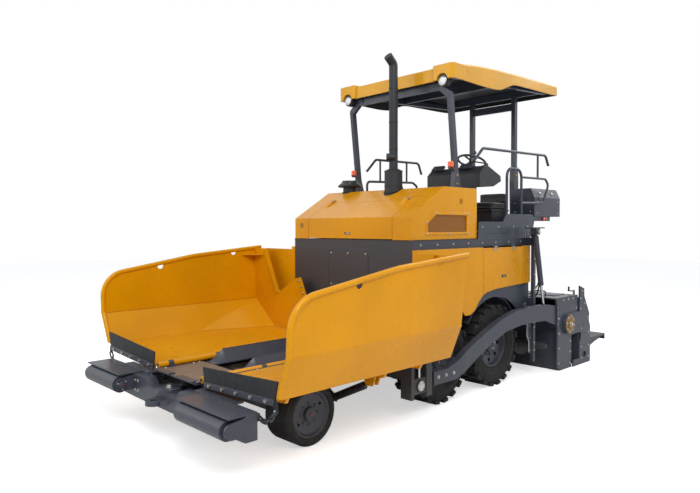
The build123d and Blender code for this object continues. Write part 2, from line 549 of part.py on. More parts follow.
with BuildPart() as wing:
    # floor and slope as one bent sheet, clear of the tyre behind the floor
    with BuildSketch(cross_plane(WING_REAR)):
        with BuildLine():
            Polyline(
                WING_FLOOR, WING_FOLD, WING_KNEE, (WING_KNEE[0] + SKIN, WING_KNEE[1] - 4),
                (WING_FOLD[0] + 7, WING_FOLD[1] - SKIN), (WING_FLOOR[0], WING_FLOOR[1] - SKIN), close=True,
            )
        make_face()
    extrude(amount=WING_FRONT - WING_REAR)
    block((WING_REAR - 5, WING_BACK_X - SKIN / 2), (300, 1330), (400, 900), mode=Mode.SUBTRACT)
    # leaning wall
    with BuildSketch(wall_plane):
        with BuildLine():
            edge = FilletPolyline(*[on_wall(*p) for p in WALL_EDGE], radius=WALL_BENDS)
            Polyline(edge @ 1, (WALL_EDGE[-1][0], -6), (WING_REAR, -6), edge @ 0)
        make_face()
        with Locations(on_wall(1254, 1600), on_wall(2276, 1470)):
            Circle(38, mode=Mode.SUBTRACT)
    extrude(amount=SKIN / 2, both=True)
    # tube round the wall's edge and down the front of the slope
    with BuildLine(wall_plane) as rim_path:
        FilletPolyline(*[on_wall(*p) for p in WALL_EDGE], radius=WALL_BENDS)
    with BuildSketch(Plane(origin=rim_path.line @ 0, z_dir=rim_path.line % 0)):
        Circle(WING_TUBE_R)
    sweep(path=rim_path.line)
    front_knee = (WING_FRONT + 15, WING_KNEE[0], WING_KNEE[1])
    rod_between(front_knee, (WING_FRONT, WING_FOLD[0], WING_FOLD[1] + 10), WING_TUBE_R)
    with Locations(front_knee):
        Sphere(WING_TUBE_R)
    # rear plate, the flange on its sloping edge and the seal strip by the conveyor
    plate(cross_plane(WING_BACK_X), BACK_PLATE, SKIN)
    plate(cross_plane(WING_BACK_X + 25), ((1388, 1644), (1128, 1096), (1136, 1092), (1396, 1644)), 50)
    plate(cross_plane(WING_BACK_X + SKIN), ((697, 1305), (589, 1083), (649, 1060), (752, 1282)), SKIN)
    # triangular panel in the rear corner
    corner = (
        Vector(WING_BACK_X, WING_KNEE[0], WING_KNEE[1]),
        Vector(1850, WING_FOLD[0], WING_FOLD[1] - 2),
        Vector(WING_BACK_X, 1230, 645),
    )
    corner_plane = Plane(origin=corner[0], x_dir=corner[1] - corner[0], z_dir=(corner[2] - corner[0]).cross(corner[1] - corner[0]))
    plate(corner_plane, [tuple(corner_plane.to_local_coords(p))[:2] for p in corner], SKIN)
    # gusset shelf high in the same corner
    plate(Plane.XY.offset(1560), ((WING_BACK_X, 1440), (WING_BACK_X, 1668), (WING_BACK_X + 210, 1668)), SKIN)
    # ribs under the floor and the lip that carries the apron
    for x in WING_RIBS:
        plate(cross_plane(x), (WING_FLOOR, WING_FOLD, (WING_FOLD[0] - 30, WING_FOLD[1] - 55), (WING_FLOOR[0] + 40, WING_FLOOR[1] - 40)), 30)
    plate(cross_plane(WING_FRONT - 8), ((452, 608), (1500, 660), (1440, 598), (476, 547)), 14)
    # hinge tube, parted at the fixed knuckles
    rod_between((WING_BACK_X, HINGE_Y, HINGE_Z), (WING_FRONT, HINGE_Y, HINGE_Z), HINGE_R)
    for x in KNUCKLES:
        block((x - KNUCKLE_LEN / 2 - 3, x + KNUCKLE_LEN / 2 + 3), (HINGE_Y - 50, HINGE_Y + 42), (HINGE_Z - 50, HINGE_Z + 50), mode=Mode.SUBTRACT)
    rod_between((WING_BACK_X - 20, HINGE_Y, HINGE_Z), (WING_FRONT + 20, HINGE_Y, HINGE_Z), HINGE_PIN_R + RUN_GAP, mode=Mode.SUBTRACT)
    # lugs of the folding cylinder
    for side in (-1, 1):
        lug_x = WING_CYL_X + side * (EYE_T / 2 + SIDE_GAP + 8)
        plate(cross_plane(lug_x), ((1080, 630), (1320, 642), (1240, 465), (1160, 465)), 16)
        rod_between((lug_x, *WING_CYL_EYE), (lug_x + side * 16, *WING_CYL_EYE), 24)
both_sides("wing", wing)

LINK_PITCH = 52.0
LINK_BAR = 12.0


def chain_links(start, end, count, sag):
    """Links along a shallow arc, each second one turned a quarter about its run."""
    first, last = Vector(*start), Vector(*end)
    for k in range(count):
        t = (k + 0.5) / count
        run = (last - first) + Vector(0, 0, -sag * 4 * (1 - 2 * t))
        middle = first + (last - first) * t + Vector(0, 0, -sag * 4 * t * (1 - t))
        flat = Vector(1, 0, 0) if k % 2 else Vector(1, 0, 0).cross(run)
        with BuildSketch(Plane(origin=middle, x_dir=run, z_dir=flat)) as link:
            RectangleRounded(LINK_PITCH + LINK_BAR + 6, 40, 12)
            Rectangle(LINK_PITCH - LINK_BAR + 6, 40 - 2 * LINK_BAR, mode=Mode.SUBTRACT)
        extrude(link.sketch, amount=LINK_BAR / 2, both=True)


with BuildPart() as apron:
    plate(cross_plane(WING_FRONT + 7), ((447, 723), (476, 547), (1447, 595), (1500, 788)), 12)
    # clamp strip with its bolt heads
    plate(cross_plane(WING_FRONT + 16), ((462, 600), (476, 550), (1446, 597), (1460, 648)), 8)
    for k in range(5):
        bolt_y = 560 + k * 200
        bolt_z = 575 + (bolt_y - 462) * 48 / 988
        rod_between((WING_FRONT + 16, bolt_y, bolt_z), (WING_FRONT + 32, bolt_y, bolt_z), 15)
    # hook under the outer corner, and the chain down to the front beam
    plate(cross_plane(WING_FRONT + 7), ((1440, 640), (1486, 640), (1490, 560), (1440, 570)), 12)
    chain_links((WING_FRONT + 7, 1478, 575), (WING_FRONT + 20, 1275, 480), 5, 60)
both_sides("apron", apron)

ROD_SHARE = 0.5            # radius of a piston rod, in parts of its barrel's


def cylinder_barrel(foot, eye, x_or_y, axis, radius, length, eye_r, eye_t):
    """Barrel with its foot eye. The plane of the pair is X or Y = x_or_y."""
    def point(p):
        return (x_or_y, p[0], p[1]) if axis == "X" else (p[0], x_or_y, p[1])

    pin = Vector(1, 0, 0) if axis == "X" else Vector(0, 1, 0)
    a, b = Vector(*point(foot)), Vector(*point(eye))
    along = (b - a).normalized()
    with BuildPart() as barrel:
        rod_between(tuple(a + along * (eye_r - 6)), tuple(a + along * (eye_r + 26)), eye_t / 2)
        rod_between(tuple(a + along * (eye_r + 20)), tuple(a + along * length), radius)
        rod_between(tuple(a - pin * (eye_t / 2)), tuple(a + pin * (eye_t / 2)), eye_r)
        rod_between(tuple(a - pin * eye_t), tuple(a + pin * eye_t), FOOT_PIN_R + RUN_GAP, mode=Mode.SUBTRACT)
        # bore of the rod, open at the front
        rod_between(tuple(a + along * (eye_r + 34)), tuple(a + along * (length + 1)), radius * ROD_SHARE + RUN_GAP, mode=Mode.SUBTRACT)
    return barrel


def cylinder_rod(foot, eye, x_or_y, axis, radius, start, eye_r, eye_t):
    def point(p):
        return (x_or_y, p[0], p[1]) if axis == "X" else (p[0], x_or_y, p[1])

    pin = Vector(1, 0, 0) if axis == "X" else Vector(0, 1, 0)
    a, b = Vector(*point(foot)), Vector(*point(eye))
    along = (b - a).normalized()
    with BuildPart() as rod:
        rod_between(tuple(a + along * start), tuple(b - along * (eye_r - 6)), radius * ROD_SHARE)
        rod_between(tuple(b - pin * (eye_t / 2)), tuple(b + pin * (eye_t / 2)), eye_r)
    return rod


WING_CYL_R = 38.0
WING_CYL_LEN = 500.0
wing_barrel = cylinder_barrel(WING_CYL_FOOT, WING_CYL_EYE, WING_CYL_X, "X", WING_CYL_R, WING_CYL_LEN, 36, EYE_T)
wing_rod = cylinder_rod(WING_CYL_FOOT, WING_CYL_EYE, WING_CYL_X, "X", WING_CYL_R, 80, 30, EYE_T)
both_sides("wing_barrel", wing_barrel)
both_sides("wing_rod", wing_rod)

# ---- body of the tractor -----------------------------------------------------------------
BULKHEAD_T = 20.0
DECK_T = 20.0
FLOOR_Z = BELLY_Z + SKIN
FENDER_R = 590.0
DOOR_REAR = -1330.0
SKIRT_Y = 1003.0
SKIRT_T = 12.0
SKIRT_ARC = (-710.0, 336.0, 732.0)    # middle and radius of the skirt's arc
DOOR_HINGES = (-680.0, -1080.0)
POST_Y = (1070.0, 1110.0)
POST_X = (-1510.0, -1460.0)
POST_LOW = 170.0
with BuildPart() as body_shell:
    # front bulkhead, open below for the conveyor, with its square service plate
    with BuildSketch(cross_plane(BODY_FRONT - BULKHEAD_T)):
        with BuildLine():
            Polyline(
                (-BODY_Y, FLOOR_Z), (-BODY_Y, HOOD_BOTTOM), (BODY_Y, HOOD_BOTTOM), (BODY_Y, FLOOR_Z),
                (FRAME_Y, FLOOR_Z), (FRAME_Y, 900), (-FRAME_Y, 900), (-FRAME_Y, FLOOR_Z),
                close=True,
            )
        make_face()
    extrude(amount=BULKHEAD_T)
    with BuildSketch(cross_plane(BODY_FRONT)):
        with Locations((0, 1430)):
            RectangleRounded(640, 430, 30)
    extrude(amount=4)
    # rear bulkhead
    with BuildSketch(cross_plane(BODY_REAR)):
        with BuildLine():
            Polyline(
                (-BODY_Y, FLOOR_Z), (-BODY_Y, DECK_Z - DECK_T), (BODY_Y, DECK_Z - DECK_T), (BODY_Y, FLOOR_Z),
                close=True,
            )
        make_face()
    extrude(amount=BULKHEAD_T)
    for side in (-1, 1):
        # side rails and the floor edges that tie the bulkheads
        block((BODY_REAR - 110, BODY_FRONT), (side * (BODY_Y - 60), side * BODY_Y), (RAIL_TOP - RAIL_H, RAIL_TOP))
        block((BODY_REAR + BULKHEAD_T, BODY_FRONT - BULKHEAD_T), (side * FRAME_Y, side * 720), (FLOOR_Z, FLOOR_Z + 20))
        block((BODY_REAR + BULKHEAD_T, HOOD_REAR), (side * (BODY_Y - 12), side * (BODY_Y - 2)), (RAIL_TOP, DECK_Z - DECK_T))
        # fenders as (axle X, first and last angle above the front horizon)
        for axle_x, first, last in ((REAR_AXLE_X, 32, 150), (MID_AXLE_X, 62, 128)):
            with BuildSketch(side_plane(side * 845)):
                with BuildLine():
                    outer = CenterArc((axle_x, REAR_TYRE_R), FENDER_R, first, last - first)
                    inner = CenterArc((axle_x, REAR_TYRE_R), FENDER_R - 8, first, last - first)
                    Line(outer @ 0, inner @ 0)
                    Line(outer @ 1, inner @ 1)
                make_face()
            extrude(amount=165, both=True)
        # skirt behind the side panels, cut in an arc over the tyre
        with BuildSketch(side_plane(side * SKIRT_Y)):
            with BuildLine():
                front, top, rear = [
                    (SKIRT_ARC[0] + SKIRT_ARC[2] * cos(radians(turn)), SKIRT_ARC[1] + SKIRT_ARC[2] * sin(radians(turn)))
                    for turn in (52.3, 90.0, 144.2)
                ]
                ThreePointArc(front, top, rear)
                Polyline(
                    rear, (POST_X[0], rear[1]), (POST_X[0], 1215), (-945, 1195), (-682, 1182), (-502, 1158),
                    (-430, 1130), (-340, 1050), (-275, 972), front,
                )
            make_face()
        extrude(amount=SKIRT_T / 2, both=True)
        # fixed strip of panel behind the door
        plate(
            side_plane(side * (PANEL_Y + SKIRT_Y + SKIRT_T / 2) / 2),
            (
                (DOOR_REAR - 5, 1190), (DOOR_REAR - 5, RAIL_TOP - RAIL_H), (POST_X[0], RAIL_TOP - RAIL_H),
                (POST_X[0], 1198),
            ),
            PANEL_Y - SKIRT_Y - SKIRT_T / 2,
        )
        # post behind the side door, its ties to skirt, rail and frame, and the zigzag shield before it
        block(POST_X, (side * SKIRT_Y, side * POST_Y[0]), (900, 1000))
        block(POST_X, (side * POST_Y[0], side * POST_Y[1]), (POST_LOW, RAIL_TOP))
        block(POST_X, (side * (BODY_Y - 10), side * POST_Y[0]), (RAIL_TOP - RAIL_H, RAIL_TOP))
        block((BODY_REAR, POST_X[1]), (side * (FRAME_Y + FRAME_T), side * POST_Y[0]), (640, 720))
        plate(
            side_plane(side * (POST_Y[0] + 6)),
            (
                (POST_X[1] - 5, 260), (POST_X[1] - 5, 900), (-1400, 900), (-1400, 800),
                (-1350, 740), (-1350, 520), (-1400, 440), (-1400, 300),
            ),
            10,
        )
        # brackets and pins of the side door's hinges
        for x in DOOR_HINGES:
            block((x - 40, x + 40), (side * BODY_Y, side * (DOOR_AXIS[0] + 8)), (DOOR_AXIS[1] + 9, DOOR_AXIS[1] + 17))
            for ear in (x - 34, x + 34):
                ear_y = (side * (DOOR_AXIS[0] - 8), side * (DOOR_AXIS[0] + 8))
                block((ear - 6, ear + 6), ear_y, (DOOR_AXIS[1] - 5, DOOR_AXIS[1] + 12))
            rod_between((x - 40, side * DOOR_AXIS[0], DOOR_AXIS[1]), (x + 40, side * DOOR_AXIS[0], DOOR_AXIS[1]), 5)
        # head of the lift cylinder: two lugs under a roof, on a beam from the post
        for flank in (-1, 1):
            plate(
                side_plane(side * (ARM_Y + flank * (EYE_T / 2 + SIDE_GAP + 8))),
                (
                    (LIFT_TOP[0] - 45, LIFT_TOP[1] - 35), (LIFT_TOP[0] - 45, LIFT_TOP[1] + 50),
                    (LIFT_TOP[0] + 45, LIFT_TOP[1] + 50), (LIFT_TOP[0] + 45, LIFT_TOP[1] - 35),
                ),
                16,
            )
        rod_between(
            (LIFT_TOP[0], side * (ARM_Y - EYE_T / 2 - SIDE_GAP - LUG_T - 6), LIFT_TOP[1]),
            (LIFT_TOP[0], side * (ARM_Y + EYE_T / 2 + SIDE_GAP + LUG_T + 6), LIFT_TOP[1]), FOOT_PIN_R,
        )
        roof_y = (side * POST_Y[0], side * (ARM_Y + EYE_T / 2 + SIDE_GAP + LUG_T))
        block((POST_X[0], LIFT_TOP[0] + 45), roof_y, (LIFT_TOP[1] + 45, LIFT_TOP[1] + 60))
        block(POST_X, (side * POST_Y[0], side * POST_Y[1]), (RAIL_TOP, LIFT_TOP[1] + 50))
pieces["body_shell"] = body_shell

DOOR_SPLIT = -430.0
PANEL_T = 15.0
DOOR_TOP = RAIL_TOP - RAIL_H - 8
PANEL_TOP = RAIL_TOP - RAIL_H
with BuildPart() as side_panels:
    for side in (-1, 1):
        y = side * (PANEL_Y - PANEL_T / 2)
        with BuildSketch(side_plane(y)):
            with BuildLine():
                Polyline((DOOR_SPLIT + 4, 1108), (DOOR_SPLIT + 4, PANEL_TOP), (BODY_FRONT + 5, PANEL_TOP), (BODY_FRONT + 5, 1080), (680, 1080))
                ThreePointArc((680, 1080), (MID_AXLE_X - 60, 1100), (20, 1000))
                Polyline((20, 1000), (-70, 905), (-175, 905), (-262, 950), (-330, 1030), (DOOR_SPLIT + 4, 1108))
            make_face()
        extrude(amount=PANEL_T / 2, both=True)
        # returns that meet the body at the front and along the top
        block((BODY_FRONT - 20, BODY_FRONT + 5), (side * BODY_Y, side * (PANEL_Y - PANEL_T)), (1080, PANEL_TOP))
        # guard that stands out behind the wing's rear end
        guard_y = side * (PANEL_Y - 2)
        plate(cross_plane(BODY_FRONT), ((guard_y, 1085), (guard_y, 1640), (side * 1590, 1640), (side * 1290, 1085)), SKIN)
        block((DOOR_SPLIT + 4, BODY_FRONT - 20), (side * (BODY_Y - 40), side * (PANEL_Y - PANEL_T)), (PANEL_TOP - 14, PANEL_TOP))
pieces["side_panels"] = side_panels

with BuildPart() as side_door:
    plate(
        side_plane(PANEL_Y - PANEL_T / 2),
        (
            (DOOR_SPLIT, 1110), (DOOR_SPLIT, DOOR_TOP), (DOOR_REAR, DOOR_TOP), (DOOR_REAR, 1190), (-945, 1176),
            (-682, 1163), (-502, 1138),
        ),
        PANEL_T,
    )
    # leaf and knuckle of each hinge
    for x in DOOR_HINGES:
        block((x - 26, x + 26), (PANEL_Y - 1, PANEL_Y + 5), (DOOR_TOP - 35, DOOR_AXIS[1]))
        rod_between((x - 26, *DOOR_AXIS), (x + 26, *DOOR_AXIS), 9)
        rod_between((x - 27, *DOOR_AXIS), (x + 27, *DOOR_AXIS), 5 + RUN_GAP, mode=Mode.SUBTRACT)
both_sides("side_door", side_door)

# ---- hood --------------------------------------------------------------------------------
HOOD_T = 12.0
HOOD_PROFILE = (
    (HOOD_REAR, HOOD_BOTTOM), (HOOD_FRONT, HOOD_BOTTOM), (HOOD_FRONT, HOOD_NOSE_Z),
    (HOOD_TOP_X, HOOD_TOP), (HOOD_REAR, HOOD_TOP),
)
SLOPE = (HOOD_TOP - HOOD_NOSE_Z) / (HOOD_FRONT - HOOD_TOP_X)
DOOR_HINGE_Z = HOOD_NOSE_Z + (HOOD_FRONT - DOOR_HINGE_X) * SLOPE
GRILLE = ((510.0, 1862.0), (510.0, 1958.0), (365.0, 2050.0), (-212.0, 2050.0), (-212.0, 1862.0))
GRILLE_SLOPE = (GRILLE[1][0] - GRILLE[2][0]) / (GRILLE[2][1] - GRILLE[1][1])
GRILLE_BARS = 7
DOOR_GAP = 6.0
HOOD_HINGES = (-620.0, 620.0)
with BuildPart() as hood_shell:
    with BuildSketch(side_plane(0)):
        with BuildLine():
            Polyline(*HOOD_PROFILE, close=True)
        make_face()
    extrude(amount=HOOD_Y, both=True)
    fillet(hood_shell.edges().filter_by(Axis.Y).group_by(Axis.Z)[-1], 40)
    # hollow, open below
    with BuildSketch(side_plane(0)):
        with BuildLine():
            Polyline(
                (HOOD_REAR + HOOD_T, HOOD_BOTTOM - 1), (HOOD_FRONT - HOOD_T, HOOD_BOTTOM - 1),
                (HOOD_FRONT - HOOD_T, HOOD_NOSE_Z - HOOD_T * 0.6), (HOOD_TOP_X - HOOD_T * 0.4, HOOD_TOP - HOOD_T * 1.2),
                (HOOD_REAR + HOOD_T, HOOD_TOP - HOOD_T * 1.2), close=True,
            )
        make_face()
    extrude(amount=HOOD_Y - HOOD_T, both=True, mode=Mode.SUBTRACT)
    # openings of the front door and the side grilles
    block((DOOR_HINGE_X + DOOR_GAP, HOOD_FRONT + 5), (-DOOR_Y - DOOR_GAP, DOOR_Y + DOOR_GAP), (HOOD_BOTTOM - 2, HOOD_TOP), mode=Mode.SUBTRACT)
    for side in (-1, 1):
        with BuildSketch(side_plane(side * (HOOD_Y - HOOD_T / 2))):
            with BuildLine():
                Polyline(*GRILLE, close=True)
            make_face()
            with Locations((-97, 2209)):
                Circle(34)
        extrude(amount=HOOD_T, both=True, mode=Mode.SUBTRACT)
    # stack and intake pass through the roof
    with Locations((STACK_X, STACK_Y, HOOD_TOP)):
        Cylinder(MUFFLER_R + 8, 200, mode=Mode.SUBTRACT)
    with Locations((INTAKE[0], INTAKE[1], HOOD_TOP)):
        Cylinder(96, 80, mode=Mode.SUBTRACT)
    # ears and pin of each door hinge
    for y in HOOD_HINGES:
        for ear in (y - 34, y + 34):
            plate(side_plane(ear), ((425, 2245), (440, 2262), (470, 2254), (480, 2244), (478, 2235), (469, 2220)), 12)
        rod_between((HOOD_HINGE[0], y - 40, HOOD_HINGE[1]), (HOOD_HINGE[0], y + 40, HOOD_HINGE[1]), 5)
pieces["hood_shell"] = hood_shell

with BuildPart() as hood_door:
    with BuildSketch(side_plane(0)):
        with BuildLine():
            Polyline(
                (HOOD_FRONT, HOOD_BOTTOM + 8), (HOOD_FRONT, HOOD_NOSE_Z), (DOOR_HINGE_X + DOOR_GAP + 6, DOOR_HINGE_Z - (DOOR_GAP + 6) * SLOPE),
                (DOOR_HINGE_X + DOOR_GAP + 6, DOOR_HINGE_Z - (DOOR_GAP + 6) * SLOPE - HOOD_T * 1.2),
                (HOOD_FRONT - HOOD_T, HOOD_NOSE_Z - HOOD_T * 0.6), (HOOD_FRONT - HOOD_T, HOOD_BOTTOM + 8), close=True,
            )
        make_face()
    extrude(amount=DOOR_Y, both=True)
    # latch recess
    block((HOOD_FRONT - 8, HOOD_FRONT + 1), (-50, 50), (1835, 1860), mode=Mode.SUBTRACT)
    # leaf and knuckle of each hinge
    for y in HOOD_HINGES:
        plate(side_plane(y), ((470, 2250), (480, 2248), (565, 2178), (565, 2163), (482, 2212), (474, 2234)), 52)
        rod_between((HOOD_HINGE[0], y - 26, HOOD_HINGE[1]), (HOOD_HINGE[0], y + 26, HOOD_HINGE[1]), 9)
        rod_between(
            (HOOD_HINGE[0], y - 27, HOOD_HINGE[1]), (HOOD_HINGE[0], y + 27, HOOD_HINGE[1]), 5 + RUN_GAP, mode=Mode.SUBTRACT
        )
pieces["hood_door"] = hood_door

with BuildPart() as hood_grilles:
    for side in (-1, 1):
        with BuildSketch(side_plane(side * (HOOD_Y - HOOD_T - 5))):
            with BuildLine():
                Polyline(*GRILLE, close=True)
            make_face()
            offset(amount=18)
        extrude(amount=4.5, both=True)
        # raised bars over the mesh
        for k in range(GRILLE_BARS):
            z = GRILLE[0][1] + (k + 0.5) * (GRILLE[2][1] - GRILLE[0][1]) / GRILLE_BARS
            front = GRILLE[1][0] - 10 - max(0, z - GRILLE[1][1]) * GRILLE_SLOPE
            block(
                (GRILLE[3][0] + 5, front), (side * (HOOD_Y - HOOD_T - 3), side * (HOOD_Y - HOOD_T + 4)), (z - 5, z + 5),
            )
pieces["hood_grilles"] = hood_grilles

with BuildPart() as engine:
    block((-250, 620), (-380, 380), (FLOOR_Z, ENGINE_TOP))
pieces["engine"] = engine

with BuildPart() as exhaust:
    with Locations((STACK_X, STACK_Y, (ENGINE_TOP + MUFFLER_TOP) / 2)):
        Cylinder(MUFFLER_R, MUFFLER_TOP - ENGINE_TOP)
    with Locations((STACK_X, STACK_Y, (MUFFLER_TOP + STACK_TOP - 120) / 2)):
        Cylinder(52, STACK_TOP - 120 - MUFFLER_TOP)
    # flap joint of the folding stack
    rod_between((STACK_X + 20, STACK_Y + 40, 2745), (STACK_X + 90, STACK_Y - 30, 2745), 42)
    # bent mouth
    with BuildLine(side_plane(STACK_Y)) as mouth_path:
        FilletPolyline((STACK_X, STACK_TOP - 121), (STACK_X, STACK_TOP - 60), (STACK_X + 95, STACK_TOP + 20), radius=60)
    with BuildSketch(Plane(origin=mouth_path.line @ 0, z_dir=mouth_path.line % 0)):
        Circle(52)
    sweep(path=mouth_path.line)
pieces["exhaust"] = exhaust

with BuildPart() as air_intake:
    # profile as (radius, height)
    with BuildSketch(Plane(origin=(INTAKE[0], INTAKE[1], 0), x_dir=(1, 0, 0), z_dir=(0, -1, 0))):
        with BuildLine():
            Polyline((0, ENGINE_TOP), (88, ENGINE_TOP), (88, 2425), (150, 2432), (158, 2450), (110, 2490), (100, 2515), (0, 2520), close=True)
        make_face()
    revolve(axis=Axis((INTAKE[0], INTAKE[1], 0), (0, 0, 1)))
    block((60, 280), (INTAKE[1] - 100, -380), (1850, ENGINE_TOP + 2))
pieces["air_intake"] = air_intake

# ---- operator's platform -----------------------------------------------------------------
DECK_REAR = -1660.0
BOX_BEAM_Z = (1995.0, 2055.0)       # beams under the rear boxes
BOX_X = (-2570.0, -1850.0)
BOX_Y = (545.0, 900.0)
BOX_CORNER_Z = 2314.0
BOX_TOP = 2437.0
with BuildPart() as deck:
    block((DECK_REAR, HOOD_REAR - 7), (-BODY_Y + 2, BODY_Y - 2), (DECK_Z - DECK_T, DECK_Z))
    for side in (-1, 1):
        # raised edge plate of the platform
        plate(
            side_plane(side * (BODY_Y - 5)),
            (
                (HOOD_REAR - 7, DECK_Z - DECK_T), (HOOD_REAR - 7, 1978), (-951, 1980), (-1034, 2078),
                (-1668, 2078), (-1727, 2010), (-1660, 1800), (-1620, RAIL_TOP), (-1520, RAIL_TOP), (-1520, DECK_Z - DECK_T),
            ),
            10,
        )
        # riser and beams that carry the rear boxes
        block((DECK_REAR, DECK_REAR + 15), (side * 360, side * (BODY_Y - 10)), (DECK_Z, BOX_BEAM_Z[1]))
        block((-2300, DECK_REAR), (side * 820, side * 890), BOX_BEAM_Z)
        block((-2300, DECK_REAR), (side * 560, side * 620), BOX_BEAM_Z)
    block((-2290, -2180), (-890, 890), BOX_BEAM_Z)
pieces["deck"] = deck

with BuildPart() as rear_boxes:
    for side in (-1, 1):
        # closed lockers with a sloping outer shoulder, as (Y, Z)
        with BuildSketch(cross_plane(BOX_X[1])):
            with BuildLine():
                Polyline(
                    (side * BOX_Y[0], BOX_BEAM_Z[1]), (side * BOX_Y[0], BOX_TOP), (side * (BOX_Y[1] - 58), BOX_TOP),
                    (side * BOX_Y[1], BOX_CORNER_Z), (side * BOX_Y[1], BOX_BEAM_Z[1]), close=True,
                )
            make_face()
        extrude(amount=-(BOX_X[1] - BOX_X[0]))
        block(
            (BOX_X[0] + SKIN, BOX_X[1] - SKIN), (side * (BOX_Y[0] + SKIN), side * (BOX_Y[1] - SKIN)),
            (BOX_BEAM_Z[1] + SKIN, BOX_CORNER_Z - SKIN), mode=Mode.SUBTRACT,
        )
pieces["rear_boxes"] = rear_boxes

COLUMN_FOOT = (-640.0, 500.0, DECK_Z)
WHEEL_HUB = (-955.0, 500.0, 2765.0)
COLUMN_TILT = (-0.36, 0.0, 0.933)   # direction of the steering column
with BuildPart() as console:
    # desk across the left half, leaning to the operator
    with BuildSketch(side_plane(160)):
        with BuildLine():
            Polyline(
                (-470, 2395), (-470, 2560), (-560, 2640), (-640, 2655), (-920, 2545), (-930, 2480),
                (-760, 2410), close=True,
            )
        make_face()
    extrude(amount=-790)
    # pedestal and its foot
    plate(side_plane(500), ((-560, 2400), (-760, 2412), (-700, DECK_Z), (-560, DECK_Z)), 220)
    block((-780, -520), (360, 640), (DECK_Z, DECK_Z + 20))
    # column of the steering wheel
    hub = Vector(*WHEEL_HUB)
    column = Vector(*COLUMN_TILT).normalized()
    rod_between(tuple(hub - column * 260), tuple(hub - column * 22), 24)
    rod_between(tuple(hub - column * 30), tuple(hub + column * 14), 9)
pieces["console"] = console

with BuildPart() as steering_wheel:
    wheel_plane = Plane(origin=WHEEL_HUB, z_dir=COLUMN_TILT)
    with BuildSketch(wheel_plane):
        Circle(34)
    extrude(amount=18, both=True)
    with BuildSketch(Plane(wheel_plane.origin, x_dir=wheel_plane.x_dir, z_dir=wheel_plane.y_dir)):
        with Locations((178, 0)):
            Circle(13)
    revolve(axis=Axis(WHEEL_HUB, COLUMN_TILT))
    with BuildSketch(wheel_plane.offset(-5)):
        with PolarLocations(100, 3):
            Rectangle(150, 26)
    extrude(amount=10)
    with BuildSketch(wheel_plane.offset(-19)):
        Circle(9 + RUN_GAP)
    extrude(amount=34, mode=Mode.SUBTRACT)
pieces["steering_wheel"] = steering_wheel

SEAT_X = (-1640.0, -1200.0)
SEAT_Y = (200.0, 650.0)
SEAT_Z = 2180.0
with BuildPart() as seat_base:
    block((SEAT_X[0] + 30, SEAT_X[1] - 30), (SEAT_Y[0] + 20, SEAT_Y[1] - 20), (DECK_Z, SEAT_Z - 40))
    block((SEAT_X[0] + 42, SEAT_X[1] - 42), (SEAT_Y[0] + 32, SEAT_Y[1] - 32), (DECK_Z + 12, SEAT_Z - 60), mode=Mode.SUBTRACT)
    block((SEAT_X[0] + 10, SEAT_X[1] - 10), (SEAT_Y[0] + 10, SEAT_Y[1] - 10), (SEAT_Z - 60, SEAT_Z - 30))
    # rear lip that carries the backrest
    block((SEAT_X[0] - 20, SEAT_X[0] + 12), (SEAT_Y[0] + 60, SEAT_Y[1] - 60), (SEAT_Z - 60, SEAT_Z + 160))
pieces["seat_base"] = seat_base

with BuildPart() as seat_cushion:
    block((SEAT_X[0] + 13, SEAT_X[1]), SEAT_Y, (SEAT_Z - 29.7, SEAT_Z + 70))
    fillet(seat_cushion.edges().filter_by(Axis.Z), 60)
    fillet(seat_cushion.edges().group_by(Axis.Z)[-1], 22)
    block((SEAT_X[0] + 13, SEAT_X[0] + 75), (SEAT_Y[0] + 20, SEAT_Y[1] - 20), (SEAT_Z + 60, SEAT_Z + 190))
pieces["seat_cushion"] = seat_cushion

TUBE_R = 17.0
RAIL_Y = BODY_Y - 10 - TUBE_R - SEAT_GAP
with BuildPart() as handrails:
    # left: hoop by the step, the loop behind it and the upper rail
    left = side_plane(RAIL_Y)
    tube_path(left, ((-1080, DECK_Z), (-1080, 2656), (-1430, 2656), (-1430, DECK_Z)), 110, TUBE_R)
    tube_path(left, ((-1430, 2560), (-2060, 2567), (-2145, 2490), (-2000, 2240), (-1430, 2225)), 60, TUBE_R - 2)
    tube_path(left, ((-356, 2690), (-545, 2856), (-2060, 2888), (-2138, 2754)), 70, TUBE_R)
    rod_between((-1850, RAIL_Y, 2562), (-1850, RAIL_Y, 2882), 14)
    rod_between((-1250, RAIL_Y, 2656), (-1250, RAIL_Y, 2870), 14)
    # right: a wide loop and the upper rail on two posts
    right = side_plane(-RAIL_Y)
    tube_path(right, ((-500, DECK_Z), (-500, 2560), (-1495, 2590), (-1600, 2540), (-1600, DECK_Z)), 60, TUBE_R)
    tube_path(right, ((-499, 2705), (-680, 2880), (-1635, 2894), (-1707, 2729)), 70, TUBE_R)
    rod_between((-772, -RAIL_Y, 2565), (-772, -RAIL_Y, 2880), 14)
    rod_between((-1357, -RAIL_Y, 2585), (-1357, -RAIL_Y, 2888), 14)
pieces["handrails"] = handrails

# ---- canopy ------------------------------------------------------------------------------
ROOF_T = 12.0
